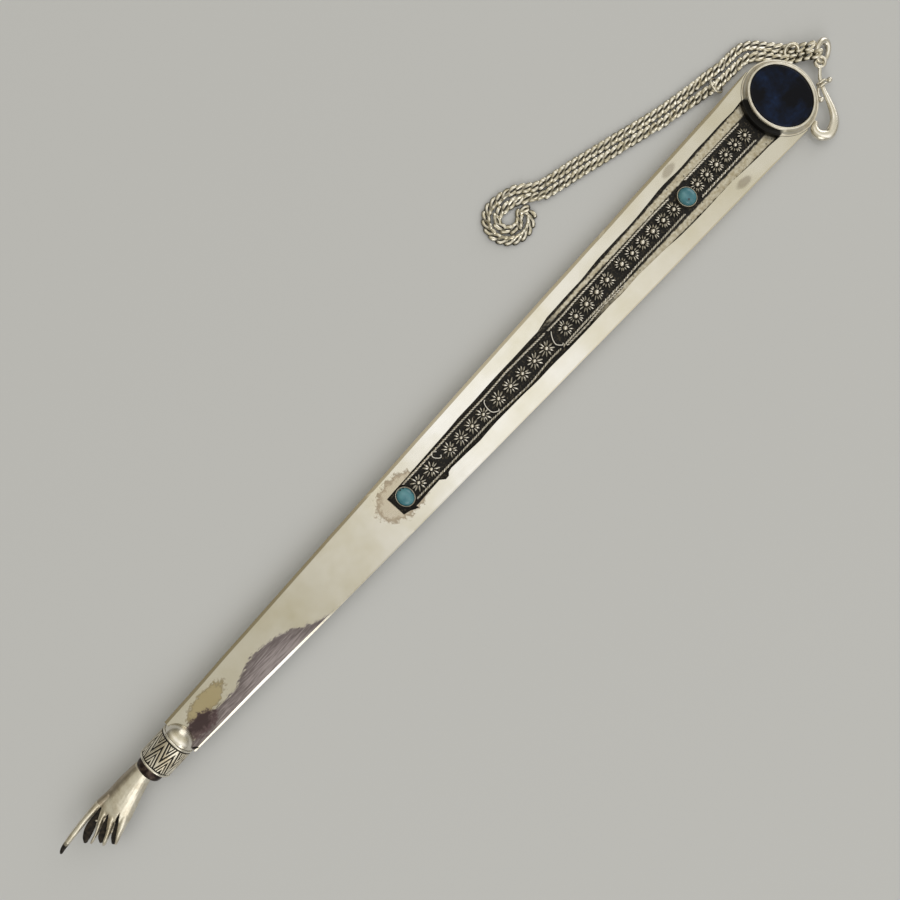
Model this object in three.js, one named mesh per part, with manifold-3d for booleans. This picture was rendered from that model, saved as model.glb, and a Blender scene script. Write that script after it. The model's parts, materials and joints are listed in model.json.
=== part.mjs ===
// A silver torah pointer: a small pointing hand, a zigzag collar and a flat two-plate blade with a channel of
// filigree rosettes, two turquoises, an oval stone in a sloped bezel, and a chain on an S-shaped bail.
// Millimetres, +Z up. The pointer lies on a table at z = 0 with its fingertip towards -X.
import * as THREE from "three";
import { mergeVertices } from "three/addons/utils/BufferGeometryUtils.js";
import Module from "manifold-3d";

const wasm = await Module();
wasm.setup();

// Gaps
const solderGap = 0.05; // between two soldered faces
const seatGap = 0.3; // between the ends of lengths that lie in line
const cutOverrun = 1; // how far a cutter reaches past what it cuts
const weldDistance = 1e-4; // vertices closer than this are one

// Hand, from the fingertip to the wrist's end
const handLength = 22.4;
const palmWidth = 8;
const palmThickness = 4;
const fingerThickness = 2;
const socketDepth = 1.9;

// Collar: a peg carries the neck ring, two rims, the zigzag tube and the slotted cap
const pinRadius = 1;
const neckRingLength = 1.9;
const neckRingRadius = 2.85;
const rimLength = 0.5;
const rimRadius = 3.65;
const collarLength = 5.7;
const collarRadius = 3.6;
const collarWall = 0.8;
const capLength = 3;
const capRadius = 3.4;
const capBase = 0.5; // solid part of the cap, in front of its slot

// Blade: two plates, widening in a slight bow from the cap to the horns beside the bezel
const bladeLength = 166.6; // from its square end to the bezel's centre
const bladeStartWidth = 8.1;
const bladeBow = 0.3; // how far each edge swells past a straight line
const backThickness = 1;
const frontThickness = 1.2;
const hornSetback = 0.5; // from the horns' points to the bezel's centre
const hornPointWidth = 0.205; // how far a horn's point reaches past the bezel's side

// Channel in the front plate
const channelStart = 59.9; // from the blade's square end
const channelStartWidth = 4.4;
const channelEndWidth = 9.6;

// Filigree strip, as wide as the channel at its tip end
const stripEndWidth = 5;
const edgeWireRadius = 0.2;
const rosetteWidth = 3.3; // across the strip; along it, the rosettes of a run fill the run
const rosetteHeight = 0.5;
const rosettePetals = 8;
const grainRadius = 0.45;
const scrollRadius = 1.55;
const scrollWireRadius = 0.15;

// Turquoises in thin cups
const cupLength = 3.6;
const cupClearance = 0.15; // to the channel's sides, at the tip end
const cupGap = 0.1; // to the rosettes next to it
const cupHeight = 1;
const cupWall = 0.15;
const cupFloor = 0.3;
const turquoiseHeight = 1.6;

// Oval bezel with sloped sides, and its flat-topped stone
const bezelLength = 11.66; // across the rim, along the blade
const bezelRise = 1.2; // above the front plate
const bezelFlare = 0.95; // how far the foot reaches past the rim
const bezelRimWidth = 0.42;
const bezelFloor = 0.5;
const ovalExtra = 1.09; // how much further every oval reaches across the blade than along it
const stoneEdge = 0.25; // rounding at the stone's top edge
const stoneInset = 0.12; // below the rim

// Bail: an S of half-round silver that ends in an eye, and the ball-ended wire round its neck
const bailWidth = 2.1;
const bailThickness = 1.5;
const bailLength = 10.3; // along the blade, from the curled side to the eye's centre
const bailSetback = 0.3; // from the bezel's centre to the bail's curled side
const bailLift = 0.5; // above the blade's middle plane
const eyeRadius = 0.95;
const eyeWireRadius = 0.34;
const ballWireRadius = 0.23;
const ballRadius = 0.55;
const wrapClearance = 0.16;

// End ring: an oval link through the bail's eye
const endRingLength = 3.8; // between wire centres
const endRingWidth = 2.3;
const endRingWireRadius = 0.34;
const endRingHeading = 31; // degrees from the blade's axis
const endRingRoll = 60; // degrees, leaning on the bail's eye

// Chain: flat curb chain, one length laid double
const chainWidth = 1.5;
const chainThickness = 0.98;
const chainSides = 8;
const chainSteps = 40; // along each straight length
const crookCentre = { x: 40.35, y: 24.55 };
const crookOuterRadius = 4.05;
const crookInnerRadius = 1.95;
const crookWidening = 0.5; // how much further out both strands run where the chain doubles back
const crookStart = 80; // degrees, where the two strands run into the crook
const crookEnd = 326; // degrees, where it doubles back
const chainRingRadius = 1.5;
const chainRingWireRadius = 0.2;
const chainRingLean = 40; // degrees from flat
const chainRingHeading = 168; // degrees, the strand's direction there

// Stations along the blade, from the fingertip at x = 0
const pinStart = handLength - socketDepth;
const neckRingStart = handLength + solderGap;
const frontRimStart = neckRingStart + neckRingLength + solderGap;
const collarStart = frontRimStart + rimLength + solderGap;
const backRimStart = collarStart + collarLength + solderGap;
const capStart = backRimStart + rimLength + solderGap;
const bladeStart = capStart + capBase;
const bezelX = bladeStart + bladeLength;
const hornX = bezelX - hornSetback;

// Heights from the blade's middle plane
const bladeThickness = backThickness + solderGap + frontThickness;
const bladeBottom = -bladeThickness / 2;
const backTop = bladeBottom + backThickness;
const frontBottom = backTop + solderGap;
const floorOfChannel = backTop + solderGap;

// The bezel's outlines, and the blade's end that carries them
const rimHalfLength = bezelLength / 2;
const footHalfLength = rimHalfLength + bezelFlare;
const footHalfWidth = footHalfLength + ovalExtra;
const bladeEndWidth = 2 * (footHalfWidth + hornPointWidth);

const silver = (name, color, roughness) =>
  new THREE.MeshStandardMaterial({ name, color, roughness, metalness: 1 });
const polishedSilver = silver("polished silver", "#d8d4c8", 0.2);
const darkSilver = silver("oxidised silver", "#6f6a60", 0.45);
const brightSilver = silver("bright silver wire", "#e2dfd2", 0.3);
const stone = (name, color, roughness) => new THREE.MeshStandardMaterial({ name, color, roughness });
const turquoise = stone("turquoise", "#63b5c4", 0.4);
const blueStone = stone("dark blue stone", "#141c38", 0.15);

// Solids

function solidOf(geometry) {
  const bare = geometry.clone();
  bare.deleteAttribute("normal");
  bare.deleteAttribute("uv");
  const merged = mergeVertices(bare, weldDistance);
  const mesh = new wasm.Mesh({
    numProp: 3,
    vertProperties: merged.attributes.position.array,
    triVerts: new Uint32Array(merged.index.array),
  });
  return new wasm.Manifold(mesh);
}

function geometryOf(solid) {
  const { vertProperties, triVerts } = solid.getMesh();
  const geometry = new THREE.BufferGeometry();
  geometry.setAttribute("position", new THREE.BufferAttribute(vertProperties, 3));
  geometry.setIndex(new THREE.BufferAttribute(triVerts, 1));
  geometry.computeVertexNormals();
  return geometry;
}

const join = (...geometries) => geometryOf(geometries.map(solidOf).reduce((sum, next) => sum.add(next)));
const cut = (body, tool) => geometryOf(solidOf(body).subtract(solidOf(tool)));

// A turned shape about the Z axis, from [radius, height] pairs.
function turned(profile, sides) {
  const geometry = new THREE.LatheGeometry(profile.map((p) => new THREE.Vector2(...p)), sides);
  return geometry.rotateX(Math.PI / 2);
}

// A turned shape that reaches further along Y than along X, by the same length all the way up.
function ovalTurned(profile, sides, extra) {
  const geometry = turned(profile, sides);
  const { position } = geometry.attributes;
  for (let i = 0; i < position.count; i++) {
    const radius = Math.hypot(position.getX(i), position.getY(i));
    if (radius > weldDistance) position.setY(i, (position.getY(i) * (radius + extra)) / radius);
  }
  return geometry;
}

const turnedAlongX = (profile, sides) => turned(profile, sides).rotateY(Math.PI / 2);

// A washer or tube about the X axis.
function tubeAlongX(outer, inner, length, sides) {
  const profile = [[inner, 0], [outer, 0], [outer, length], [inner, length], [inner, 0]];
  return turnedAlongX(profile, sides);
}

function plate(shape, thickness, bottom) {
  const geometry = new THREE.ExtrudeGeometry(shape, { depth: thickness, bevelEnabled: false });
  return geometry.translate(0, 0, bottom);
}

// A bar along a curve. halfWidths and halfHeights hold one value for each control point of the curve.
function bar(curve, halfWidths, halfHeights, sides, steps) {
  const frames = curve.computeFrenetFrames(steps, curve.closed);
  const at = (values, t) => {
    const place = t * (values.length - 1);
    const before = Math.min(Math.floor(place), values.length - 2);
    return THREE.MathUtils.lerp(values[before], values[before + 1], place - before);
  };
  const positions = [];
  const rings = curve.closed ? steps : steps + 1;
  for (let i = 0; i < rings; i++) {
    const centre = curve.getPointAt(i / steps);
    const t = curve.closed ? 0 : curve.getUtoTmapping(i / steps);
    for (let j = 0; j < sides; j++) {
      const angle = (j / sides) * 2 * Math.PI;
      const point = centre.clone();
      point.addScaledVector(frames.normals[i], Math.cos(angle) * at(halfHeights, t));
      point.addScaledVector(frames.binormals[i], Math.sin(angle) * at(halfWidths, t));
      positions.push(...point);
    }
  }
  const index = [];
  for (let i = 0; i < steps; i++) {
    for (let j = 0; j < sides; j++) {
      const a = i * sides + j;
      const b = i * sides + ((j + 1) % sides);
      const next = ((i + 1) % rings) * sides;
      const d = next + j;
      const c = next + ((j + 1) % sides);
      index.push(a, b, c, a, c, d);
    }
  }
  const last = steps * sides;
  for (let j = 1; !curve.closed && j < sides - 1; j++) {
    index.push(0, j + 1, j);
    index.push(last, last + j, last + j + 1);
  }
  const geometry = new THREE.BufferGeometry();
  geometry.setAttribute("position", new THREE.Float32BufferAttribute(positions, 3));
  geometry.setIndex(index);
  return geometry;
}

const smooth = (points, closed = false) =>
  new THREE.CatmullRomCurve3(points.map((p) => new THREE.Vector3(...p)), closed, "centripetal");

const roundBar = (curve, radii, sides, steps) => bar(curve, radii, radii, sides, steps);

// The scene graph: the pointer is a group of its own, tilted as it rests on collar and blade end.
const root = new THREE.Group();
const pointer = new THREE.Group();
root.add(pointer);

function add(parent, name, geometry, material) {
  const mesh = new THREE.Mesh(geometry, material);
  mesh.name = name;
  parent.add(mesh);
  return mesh;
}

// Hand

// Palm stations from the wrist to the knuckles, as shares of hand length, palm width and palm thickness.
const palmShares = [
  { x: 1, y: 0.075, halfWidth: 0.256, halfHeight: 0.5 },
  { x: 0.915, y: 0.075, halfWidth: 0.262, halfHeight: 0.5 },
  { x: 0.78, y: 0.03, halfWidth: 0.33, halfHeight: 0.47 },
  { x: 0.638, y: -0.035, halfWidth: 0.4, halfHeight: 0.43 },
  { x: 0.53, y: -0.075, halfWidth: 0.44, halfHeight: 0.38 },
  { x: 0.47, y: -0.1, halfWidth: 0.39, halfHeight: 0.28 },
];

// Fingers and thumb from root to tip: x of hand length, y of palm width, z of palm thickness, and the radius
// there, of finger thickness.
const indexFingerShares = [
  [0.62, 0.24, 0, 0.45],
  [0.527, 0.287, 0, 0.43],
  [0.397, 0.312, 0, 0.39],
  [0.143, 0.269, 0, 0.31],
  [0.01, 0.175, -0.04, 0.22],
];
const fingerShares = [
  indexFingerShares,
  [[0.65, 0.06, 0, 0.45], [0.554, 0.06, -0.02, 0.42], [0.36, 0, -0.12, 0.38], [0.17, -0.1, -0.42, 0.28]],
  [[0.65, -0.06, 0, 0.45], [0.576, -0.09, -0.03, 0.42], [0.41, -0.22, -0.15, 0.38], [0.25, -0.37, -0.44, 0.28]],
  [[0.68, -0.2, 0, 0.42], [0.6, -0.27, -0.05, 0.4], [0.46, -0.45, -0.18, 0.36], [0.32, -0.62, -0.44, 0.26]],
  [[0.8, 0.18, -0.18, 0.42], [0.62, 0.2, -0.42, 0.4], [0.48, 0.02, -0.52, 0.34]],
];
const palmSides = 12;
const fingerSides = 8;
const palmCurve = smooth(palmShares.map((p) => [p.x * handLength, p.y * palmWidth, 0]));
const palm = bar(
  palmCurve,
  palmShares.map((p) => p.halfWidth * palmWidth),
  palmShares.map((p) => p.halfHeight * palmThickness),
  palmSides,
  10,
);
const fingers = fingerShares.map((points) =>
  roundBar(
    smooth(points.map(([x, y, z]) => [x * handLength, y * palmWidth, z * palmThickness])),
    points.map((p) => p[3] * fingerThickness),
    fingerSides,
    2 * points.length,
  ),
);
const pinSides = 16;
const socketProfile = [
  [0, 0],
  [pinRadius + solderGap, 0],
  [pinRadius + solderGap, socketDepth + cutOverrun],
  [0, socketDepth + cutOverrun],
];
const socket = turnedAlongX(socketProfile, pinSides).translate(pinStart - solderGap, 0, 0);
add(pointer, "hand", cut(join(palm, ...fingers), socket), polishedSilver);

// Collar

const pinEnd = capStart - solderGap;
const pinProfile = [[0, 0], [pinRadius, 0], [pinRadius, pinEnd - pinStart], [0, pinEnd - pinStart]];
add(pointer, "core_pin", turnedAlongX(pinProfile, pinSides), darkSilver).position.x = pinStart;

const ringSides = 28;
const washers = [
  ["neck_ring", neckRingRadius, pinRadius + solderGap, neckRingLength, neckRingStart, darkSilver],
  ["collar_front_rim", rimRadius, pinRadius + solderGap, rimLength, frontRimStart, brightSilver],
  ["zigzag_collar", collarRadius, collarRadius - collarWall, collarLength, collarStart, darkSilver],
  ["collar_back_rim", rimRadius, pinRadius + solderGap, rimLength, backRimStart, brightSilver],
];
for (const [name, outer, inner, length, start, material] of washers) {
  add(pointer, name, tubeAlongX(outer, inner, length, ringSides), material).position.x = start;
}

// The cap is a half ball whose slot takes the blade's square end.
const capSteps = 6;
const capProfile = [[0, 0]];
for (let i = 0; i <= capSteps; i++) {
  const angle = ((i / capSteps) * Math.PI) / 2;
  capProfile.push(i < capSteps ? [capRadius * Math.cos(angle), capLength * Math.sin(angle)] : [0, capLength]);
}
const slotLength = capLength + cutOverrun;
const capSlot = new THREE.BoxGeometry(slotLength, 2 * capRadius + cutOverrun, bladeThickness + 2 * solderGap);
capSlot.translate(capBase - solderGap + slotLength / 2, 0, 0);
const domedCap = cut(turnedAlongX(capProfile, ringSides), capSlot);
add(pointer, "domed_cap", domedCap, polishedSilver).position.x = capStart;

// Blade

// The outer edge, from the square end to the horn's point, on the side that sign gives.
function edgePoints(sign, steps) {
  const points = [];
  for (let i = 0; i <= steps; i++) {
    const t = i / steps;
    const half = THREE.MathUtils.lerp(bladeStartWidth, bladeEndWidth, t) / 2 + bladeBow * 4 * t * (1 - t);
    points.push(new THREE.Vector2(THREE.MathUtils.lerp(bladeStart, hornX, t), sign * half));
  }
  return points;
}

// Points on an oval about the bezel's centre, between two angles in degrees.
function ovalPoints(halfLength, halfWidth, from, to, steps) {
  const points = [];
  for (let i = 0; i <= steps; i++) {
    const angle = THREE.MathUtils.degToRad(THREE.MathUtils.lerp(from, to, i / steps));
    points.push(new THREE.Vector2(bezelX + halfLength * Math.cos(angle), halfWidth * Math.sin(angle)));
  }
  return points;
}

const edgeSteps = 10;
const nearEdge = edgePoints(-1, edgeSteps);
const farEdge = edgePoints(1, edgeSteps).reverse();
const roundEnd = ovalPoints(footHalfLength, footHalfWidth, -90, 90, 16);
const backShape = new THREE.Shape([...nearEdge, ...roundEnd, ...farEdge]);
add(pointer, "back_plate", plate(backShape, backThickness, bladeBottom), polishedSilver);

// The horns' arc follows the bezel's foot.
const arcHalfLength = footHalfLength + solderGap;
const arcHalfWidth = footHalfWidth + solderGap;
const angleAcross = (half) => THREE.MathUtils.radToDeg(Math.asin(Math.min(1, half / arcHalfWidth)));
const hornAngle = THREE.MathUtils.radToDeg(Math.acos(hornSetback / arcHalfLength));
const mouthAngle = angleAcross(channelEndWidth / 2);
const channelX = bladeStart + channelStart;
const nearArc = ovalPoints(arcHalfLength, arcHalfWidth, 180 + hornAngle, 180 + mouthAngle, 6);
const farArc = ovalPoints(arcHalfLength, arcHalfWidth, 180 - mouthAngle, 180 - hornAngle, 6);
const channelTip = [
  new THREE.Vector2(channelX, -channelStartWidth / 2),
  new THREE.Vector2(channelX, channelStartWidth / 2),
];
const frontShape = new THREE.Shape([...nearEdge, ...nearArc, ...channelTip, ...farArc, ...farEdge]);
add(pointer, "front_plate", plate(frontShape, frontThickness, frontBottom), polishedSilver);

// Filigree strip

const channelEnd = bezelX - footHalfLength;
const channelLength = channelEnd - channelX;
const alongChannel = (share) => channelX + share * channelLength;
const stripStartWidth = channelStartWidth - 2 * solderGap;
const stripHalf = (share) =>
  THREE.MathUtils.lerp(stripStartWidth, stripEndWidth, share) / 2 - edgeWireRadius;
const cupRadius = cupLength / 2;

// Places along the channel, as shares of its length from the tip end.
const cupShare = { tip: 0.0275, top: 0.8115 };
const wireShares = [
  ["tip", 0.05, 0.44],
  ["middle", 0.443, 0.79],
  ["top", 0.833, 0.985],
];
const scrollShares = [0.126, 0.264, 0.443];
// Runs of rosettes. A run that starts or ends at a cup's place stops short of the cup's wall.
const runShares = [
  { from: cupShare.tip, to: 0.117, count: 2 },
  { from: 0.136, to: 0.259, count: 4 },
  { from: 0.269, to: 0.4345, count: 5 },
  { from: 0.456, to: 0.608, count: 5 },
  { from: 0.6195, to: cupShare.top, count: 6 },
  { from: cupShare.top, to: 0.9875, count: 6 },
];
const runEnd = (share, sign) => {
  const atCup = Object.values(cupShare).includes(share);
  return alongChannel(share) + (atCup ? sign * (cupRadius + cupGap) : 0);
};

for (const [name, from, to] of wireShares) {
  for (const [side, sign] of [["left", 1], ["right", -1]]) {
    const height = floorOfChannel + edgeWireRadius;
    const ends = [from, to].map((share) => [alongChannel(share), sign * stripHalf(share), height]);
    ends[1][0] -= seatGap;
    const wire = roundBar(smooth(ends), [edgeWireRadius, edgeWireRadius], 6, 2);
    add(pointer, `edge_wire_${side}_${name}`, wire, brightSilver);
  }
}

// A petalled disc, of unit size in plan.
function rosette() {
  const petalShare = 0.5;
  const notchShare = 0.36;
  const outline = [];
  for (let i = 0; i < 2 * rosettePetals; i++) {
    const angle = (i / (2 * rosettePetals)) * 2 * Math.PI;
    const share = i % 2 ? notchShare : petalShare;
    outline.push(new THREE.Vector2(share * Math.cos(angle), share * Math.sin(angle)));
  }
  return new THREE.ExtrudeGeometry(new THREE.Shape(outline), { depth: rosetteHeight, bevelEnabled: false });
}

const grainSides = 8;
let rosetteNumber = 0;
for (const { from, to, count } of runShares) {
  const start = runEnd(from, 1);
  const pitch = (runEnd(to, -1) - start) / count;
  for (let i = 0; i < count; i++) {
    const x = start + (i + 1 / 2) * pitch;
    const share = (x - channelX) / channelLength;
    const across = Math.min(rosetteWidth, 2 * (stripHalf(share) - edgeWireRadius - solderGap));
    const along = pitch - solderGap;
    const grainScale = Math.min(1, along / rosetteWidth);
    const petals = rosette().scale(along, across, 1);
    const grain = new THREE.SphereGeometry(grainRadius * grainScale, grainSides, 4).rotateX(Math.PI / 2);
    grain.translate(0, 0, rosetteHeight);
    rosetteNumber += 1;
    const name = `rosette_${String(rosetteNumber).padStart(2, "0")}`;
    const mesh = add(pointer, name, join(petals, grain), brightSilver);
    mesh.position.set(x, 0, floorOfChannel);
  }
}

const scrollBulgeShare = 0.15; // of its reach, to each side of its middle
scrollShares.forEach((share, i) => {
  const reach = Math.min(scrollRadius, stripHalf(share) - edgeWireRadius - scrollWireRadius - solderGap);
  const bulge = scrollBulgeShare * reach;
  const arc = smooth([[bulge, -reach, 0], [-bulge, 0, 0], [bulge, reach, 0]]);
  const wire = roundBar(arc, [scrollWireRadius, scrollWireRadius, scrollWireRadius], 6, 6);
  const mesh = add(pointer, `scroll_wire_${i + 1}`, wire, brightSilver);
  mesh.position.set(alongChannel(share), 0, floorOfChannel + scrollWireRadius);
});

// Turquoises and their cups

const cupSides = 16;
const cupStretch = (channelStartWidth - 2 * cupClearance) / cupLength;
const cupBore = cupRadius - cupWall;
const stoneRadius = cupBore - solderGap;
const cupProfile = [
  [0, 0],
  [cupRadius, 0],
  [cupRadius, cupHeight],
  [cupBore, cupHeight],
  [cupBore, cupFloor],
  [0, cupFloor],
];
// The stone's dome from its foot to its top, as shares of its radius and height.
const domeShares = [[0, 0], [1, 0], [1, 0.42], [0.85, 0.72], [0.5, 0.93], [0, 1]];
const turquoiseProfile = domeShares.map(([out, up]) => [out * stoneRadius, up * turquoiseHeight]);
for (const [name, share] of Object.entries(cupShare)) {
  const cup = turned(cupProfile, cupSides).scale(1, cupStretch, 1);
  const x = alongChannel(share);
  add(pointer, `turquoise_cup_${name}`, cup, brightSilver).position.set(x, 0, floorOfChannel);
  const stone = turned(turquoiseProfile, cupSides).scale(1, cupStretch, 1);
  const seat = floorOfChannel + cupFloor + solderGap;
  add(pointer, `turquoise_${name}`, stone, turquoise).position.set(x, 0, seat);
}

// Bezel and its stone

const bezelSides = 36;
const bezelHeight = frontThickness + bezelRise;
const pocketHalfLength = rimHalfLength - bezelRimWidth;
const bezelProfile = [
  [0, 0],
  [footHalfLength, 0],
  [footHalfLength, frontThickness],
  [rimHalfLength, bezelHeight],
  [pocketHalfLength, bezelHeight],
  [pocketHalfLength, bezelFloor],
  [0, bezelFloor],
];
const bezel = ovalTurned(bezelProfile, bezelSides, ovalExtra);
add(pointer, "bezel", bezel, polishedSilver).position.set(bezelX, 0, floorOfChannel);

const stoneHeight = bezelHeight - bezelFloor - solderGap - stoneInset;
const stoneHalfLength = pocketHalfLength - solderGap;
const stoneProfile = [
  [0, 0],
  [stoneHalfLength, 0],
  [stoneHalfLength, stoneHeight - stoneEdge],
  [stoneHalfLength - stoneEdge, stoneHeight],
  [0, stoneHeight],
];
const ovalStone = ovalTurned(stoneProfile, bezelSides, ovalExtra);
const ovalStoneSeat = floorOfChannel + bezelFloor + solderGap;
add(pointer, "oval_stone", ovalStone, blueStone).position.set(bezelX, 0, ovalStoneSeat);

// Bail

// Centre line from the curled end to the neck: x as a share of bailLength past the curled end, y as a share
// of bailReach. The last column is the width there, as a share of bailWidth.
const bailReachShare = 1.6; // from the blade's centre line to the lowest bend, of the bezel's half width
const bailReach = bailReachShare * footHalfWidth;
const bailStartX = bezelX + bailSetback;
const bailShares = [
  [0.126, -0.708, 0.36],
  [0.039, -0.758, 0.6],
  [0, -0.845, 0.81],
  [0.039, -0.936, 0.95],
  [0.15, -1, 1],
  [0.296, -0.966, 0.88],
  [0.422, -0.884, 0.67],
  [0.524, -0.741, 0.52],
  [0.612, -0.563, 0.43],
  [0.68, -0.42, 0.39],
  [0.785, -0.255, 0.37],
  [0.936, -0.131, 0.36],
];
const eyeShare = { x: 1, y: -0.0784 };
const bailLine = (x, y) => [bailStartX + x * bailLength, y * (bailReach - bailWidth / 2), bailLift];
const bailCurve = smooth(bailShares.map(([x, y]) => bailLine(x, y)));
const bailHalfWidths = bailShares.map((p) => (p[2] * bailWidth) / 2);
const bailHalfHeights = bailShares.map((p) => (p[2] * bailThickness) / 2);
const bailEye = new THREE.TorusGeometry(eyeRadius, eyeWireRadius, 8, 18);
const eyeCentre = new THREE.Vector3(...bailLine(eyeShare.x, eyeShare.y));
bailEye.translate(...eyeCentre);
const bailBar = bar(bailCurve, bailHalfWidths, bailHalfHeights, 8, 36);
add(pointer, "bail", join(bailBar, bailEye), polishedSilver);

// The ball-ended wire goes one and a half times round the neck. Its own X runs along the neck. The places of
// its ends, as shares of a ball's radius, are in that frame.
const wireStartShares = [[-5.1, 2, 0], [-3.2, 2.1, -0.2]];
const wireEndShares = [[0.9, -2.6, -0.9], [0.7, -3.5, -1]];
const neckShare = 0.859; // of the bail's points
const neckPoint = bailCurve.getPoint(neckShare);
const neckDirection = bailCurve.getTangent(neckShare);
const neckHalfWidth = bailHalfWidths[Math.floor(neckShare * (bailShares.length - 1))];
const wrapRadius = neckHalfWidth + wrapClearance + ballWireRadius;
const wrapPitch = 3 * ballWireRadius;
const wrapTurns = 1.5;
const wrapSteps = 12;
const wrapPoints = wireStartShares.map((place) => place.map((share) => share * ballRadius));
for (let i = 0; i <= wrapSteps; i++) {
  const turn = (i / wrapSteps) * wrapTurns;
  const angle = turn * 2 * Math.PI;
  const along = (turn - wrapTurns / 2) * wrapPitch;
  wrapPoints.push([along, wrapRadius * Math.cos(angle), wrapRadius * Math.sin(angle)]);
}
wrapPoints.push(...wireEndShares.map((place) => place.map((share) => share * ballRadius)));
const wrapRadii = wrapPoints.map(() => ballWireRadius);
const wrapWire = roundBar(smooth(wrapPoints), wrapRadii, 6, 44);
const ball = (place) => new THREE.SphereGeometry(ballRadius, 10, 6).translate(...place);
const ballWire = join(wrapWire, ball(wrapPoints[0]), ball(wrapPoints.at(-1)));
const ballWireMesh = add(pointer, "ball_ended_wire", ballWire, brightSilver);
ballWireMesh.position.copy(neckPoint);
ballWireMesh.rotation.z = Math.atan2(neckDirection.y, neckDirection.x);

// The end ring's inner end passes through the eye. It leans about its own long axis.
const endRingPoints = [];
const endRingCorners = 16;
for (let i = 0; i < endRingCorners; i++) {
  const angle = (i / endRingCorners) * 2 * Math.PI;
  const along = (endRingLength / 2) * (1 + Math.cos(angle));
  endRingPoints.push([along, (endRingWidth / 2) * Math.sin(angle), 0]);
}
const endRing = roundBar(smooth(endRingPoints, true), [endRingWireRadius, endRingWireRadius], 6, 28);
endRing.rotateX(THREE.MathUtils.degToRad(endRingRoll));
const endRingMesh = add(pointer, "end_ring", endRing, brightSilver);
endRingMesh.position.copy(eyeCentre);
const endRingTurn = THREE.MathUtils.degToRad(endRingHeading);
endRingMesh.rotation.z = endRingTurn;

// The pointer rests on the collar's back rim and on the far end of the blade.
const restSpan = bezelX + footHalfLength - (backRimStart + rimLength);
const restTilt = Math.atan((rimRadius + bladeBottom) / restSpan);
const restHeight = (bezelX + footHalfLength) * Math.sin(restTilt) - bladeBottom * Math.cos(restTilt);
const totalLength = eyeCentre.x + endRingLength * Math.cos(endRingTurn) + endRingWireRadius;
const sideShift = (bailReach - bladeEndWidth / 2) / 2;
pointer.rotation.y = restTilt;
pointer.position.set(-totalLength / 2, sideShift, restHeight);

// Chain: one length laid double, from the end ring out to a small crook and back. The route's points are chosen
// by hand, in the part's own frame.
const outRoute = [
  [104.1, 3.85, 2.35],
  [103.15, 4.9, 1.85],
  [102.15, 5.95, 1.3],
  [100.95, 7.3, 0.75],
  [99.75, 8.8, 0.5],
  [98.7, 10.3, 0.5],
  [97.6, 11.8, 0.5],
  [96.5, 13.1, 0.5],
  [95, 14.15, 0.5],
  [93, 14.55, 0.5],
  [90.8, 14.65, 0.5],
  [88.7, 14.85, 0.5],
  [86.5, 15.35, 0.5],
  [83.6, 15.75, 0.5],
  [79, 16.6, 0.5],
  [74.5, 17.55, 0.5],
  [70.2, 18.75, 0.5],
  [65.9, 20, 0.5],
  [61.6, 21.2, 0.5],
  [57.3, 22.4, 0.5],
  [52.8, 23.5, 0.5],
  [49.4, 24.5, 0.5],
  [47.5, 25.75, 0.5],
  [45.8, 27.1, 0.5],
  [44.4, 27.85, 0.5],
  [42.85, 28.22, 0.5],
];
const backRoute = [
  [42.5, 26.15, 0.5],
  [43.8, 25.8, 0.5],
  [45.2, 25, 0.5],
  [46.9, 23.75, 0.5],
  [49, 22.45, 0.5],
  [52.3, 21.5, 0.5],
  [56.7, 20.4, 0.5],
  [61, 19.2, 0.5],
  [65.3, 18, 0.5],
  [69.7, 16.8, 0.5],
  [74, 15.5, 0.5],
  [78.6, 14.55, 0.5],
  [83.2, 13.5, 0.7],
  [86, 12.8, 1.18],
  [88.4, 12.6, 0.7],
  [90.7, 12.5, 0.5],
  [92.6, 12.35, 0.5],
  [94.1, 12.05, 0.5],
  [95.15, 11.4, 0.5],
  [96.05, 10.55, 0.5],
  [97.1, 9.15, 0.5],
  [98.2, 7.6, 0.5],
  [99.4, 6.1, 0.6],
  [100.65, 4.9, 1.15],
  [101.85, 3.9, 1.85],
  [102.75, 2.9, 2.35],
];
const chainRingPlace = [86.1, 12.7, 1.18];

// The crook: the outer strand runs round, doubles back in a tight turn and returns inside itself.
function crookRoute() {
  const turnRadius = (crookOuterRadius - crookInnerRadius) / 2;
  const crookMiddle = (crookStart + crookEnd) / 2;
  const at = (radius, degrees, onward = 0) => {
    const angle = THREE.MathUtils.degToRad(degrees);
    const reach = radius + crookWidening * THREE.MathUtils.smoothstep(degrees, crookMiddle, crookEnd);
    return [
      crookCentre.x + reach * Math.cos(angle) - onward * Math.sin(angle),
      crookCentre.y + reach * Math.sin(angle) + onward * Math.cos(angle),
      chainThickness / 2,
    ];
  };
  const loopSteps = 17;
  const turnSteps = 8;
  const outer = [at(crookOuterRadius, crookStart, -chainWidth)];
  const inner = [at(crookInnerRadius, crookStart, -chainWidth)];
  for (let i = 0; i <= loopSteps; i++) {
    const degrees = THREE.MathUtils.lerp(crookStart, crookEnd, i / loopSteps);
    outer.push(at(crookOuterRadius, degrees));
    inner.push(at(crookInnerRadius, degrees));
  }
  const turn = [];
  for (let i = 1; i < turnSteps; i++) {
    const angle = (i / turnSteps) * Math.PI;
    const radius = crookInnerRadius + turnRadius * (1 + Math.cos(angle));
    turn.push(at(radius, crookEnd, turnRadius * Math.sin(angle)));
  }
  return [...outer, ...turn, ...inner.reverse()];
}

const chainSection = new THREE.Shape();
for (let i = 0; i < chainSides; i++) {
  const angle = (i / chainSides) * 2 * Math.PI;
  const corner = [(chainThickness / 2) * Math.cos(angle), (chainWidth / 2) * Math.sin(angle)];
  if (i) chainSection.lineTo(...corner);
  else chainSection.moveTo(...corner);
}

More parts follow.
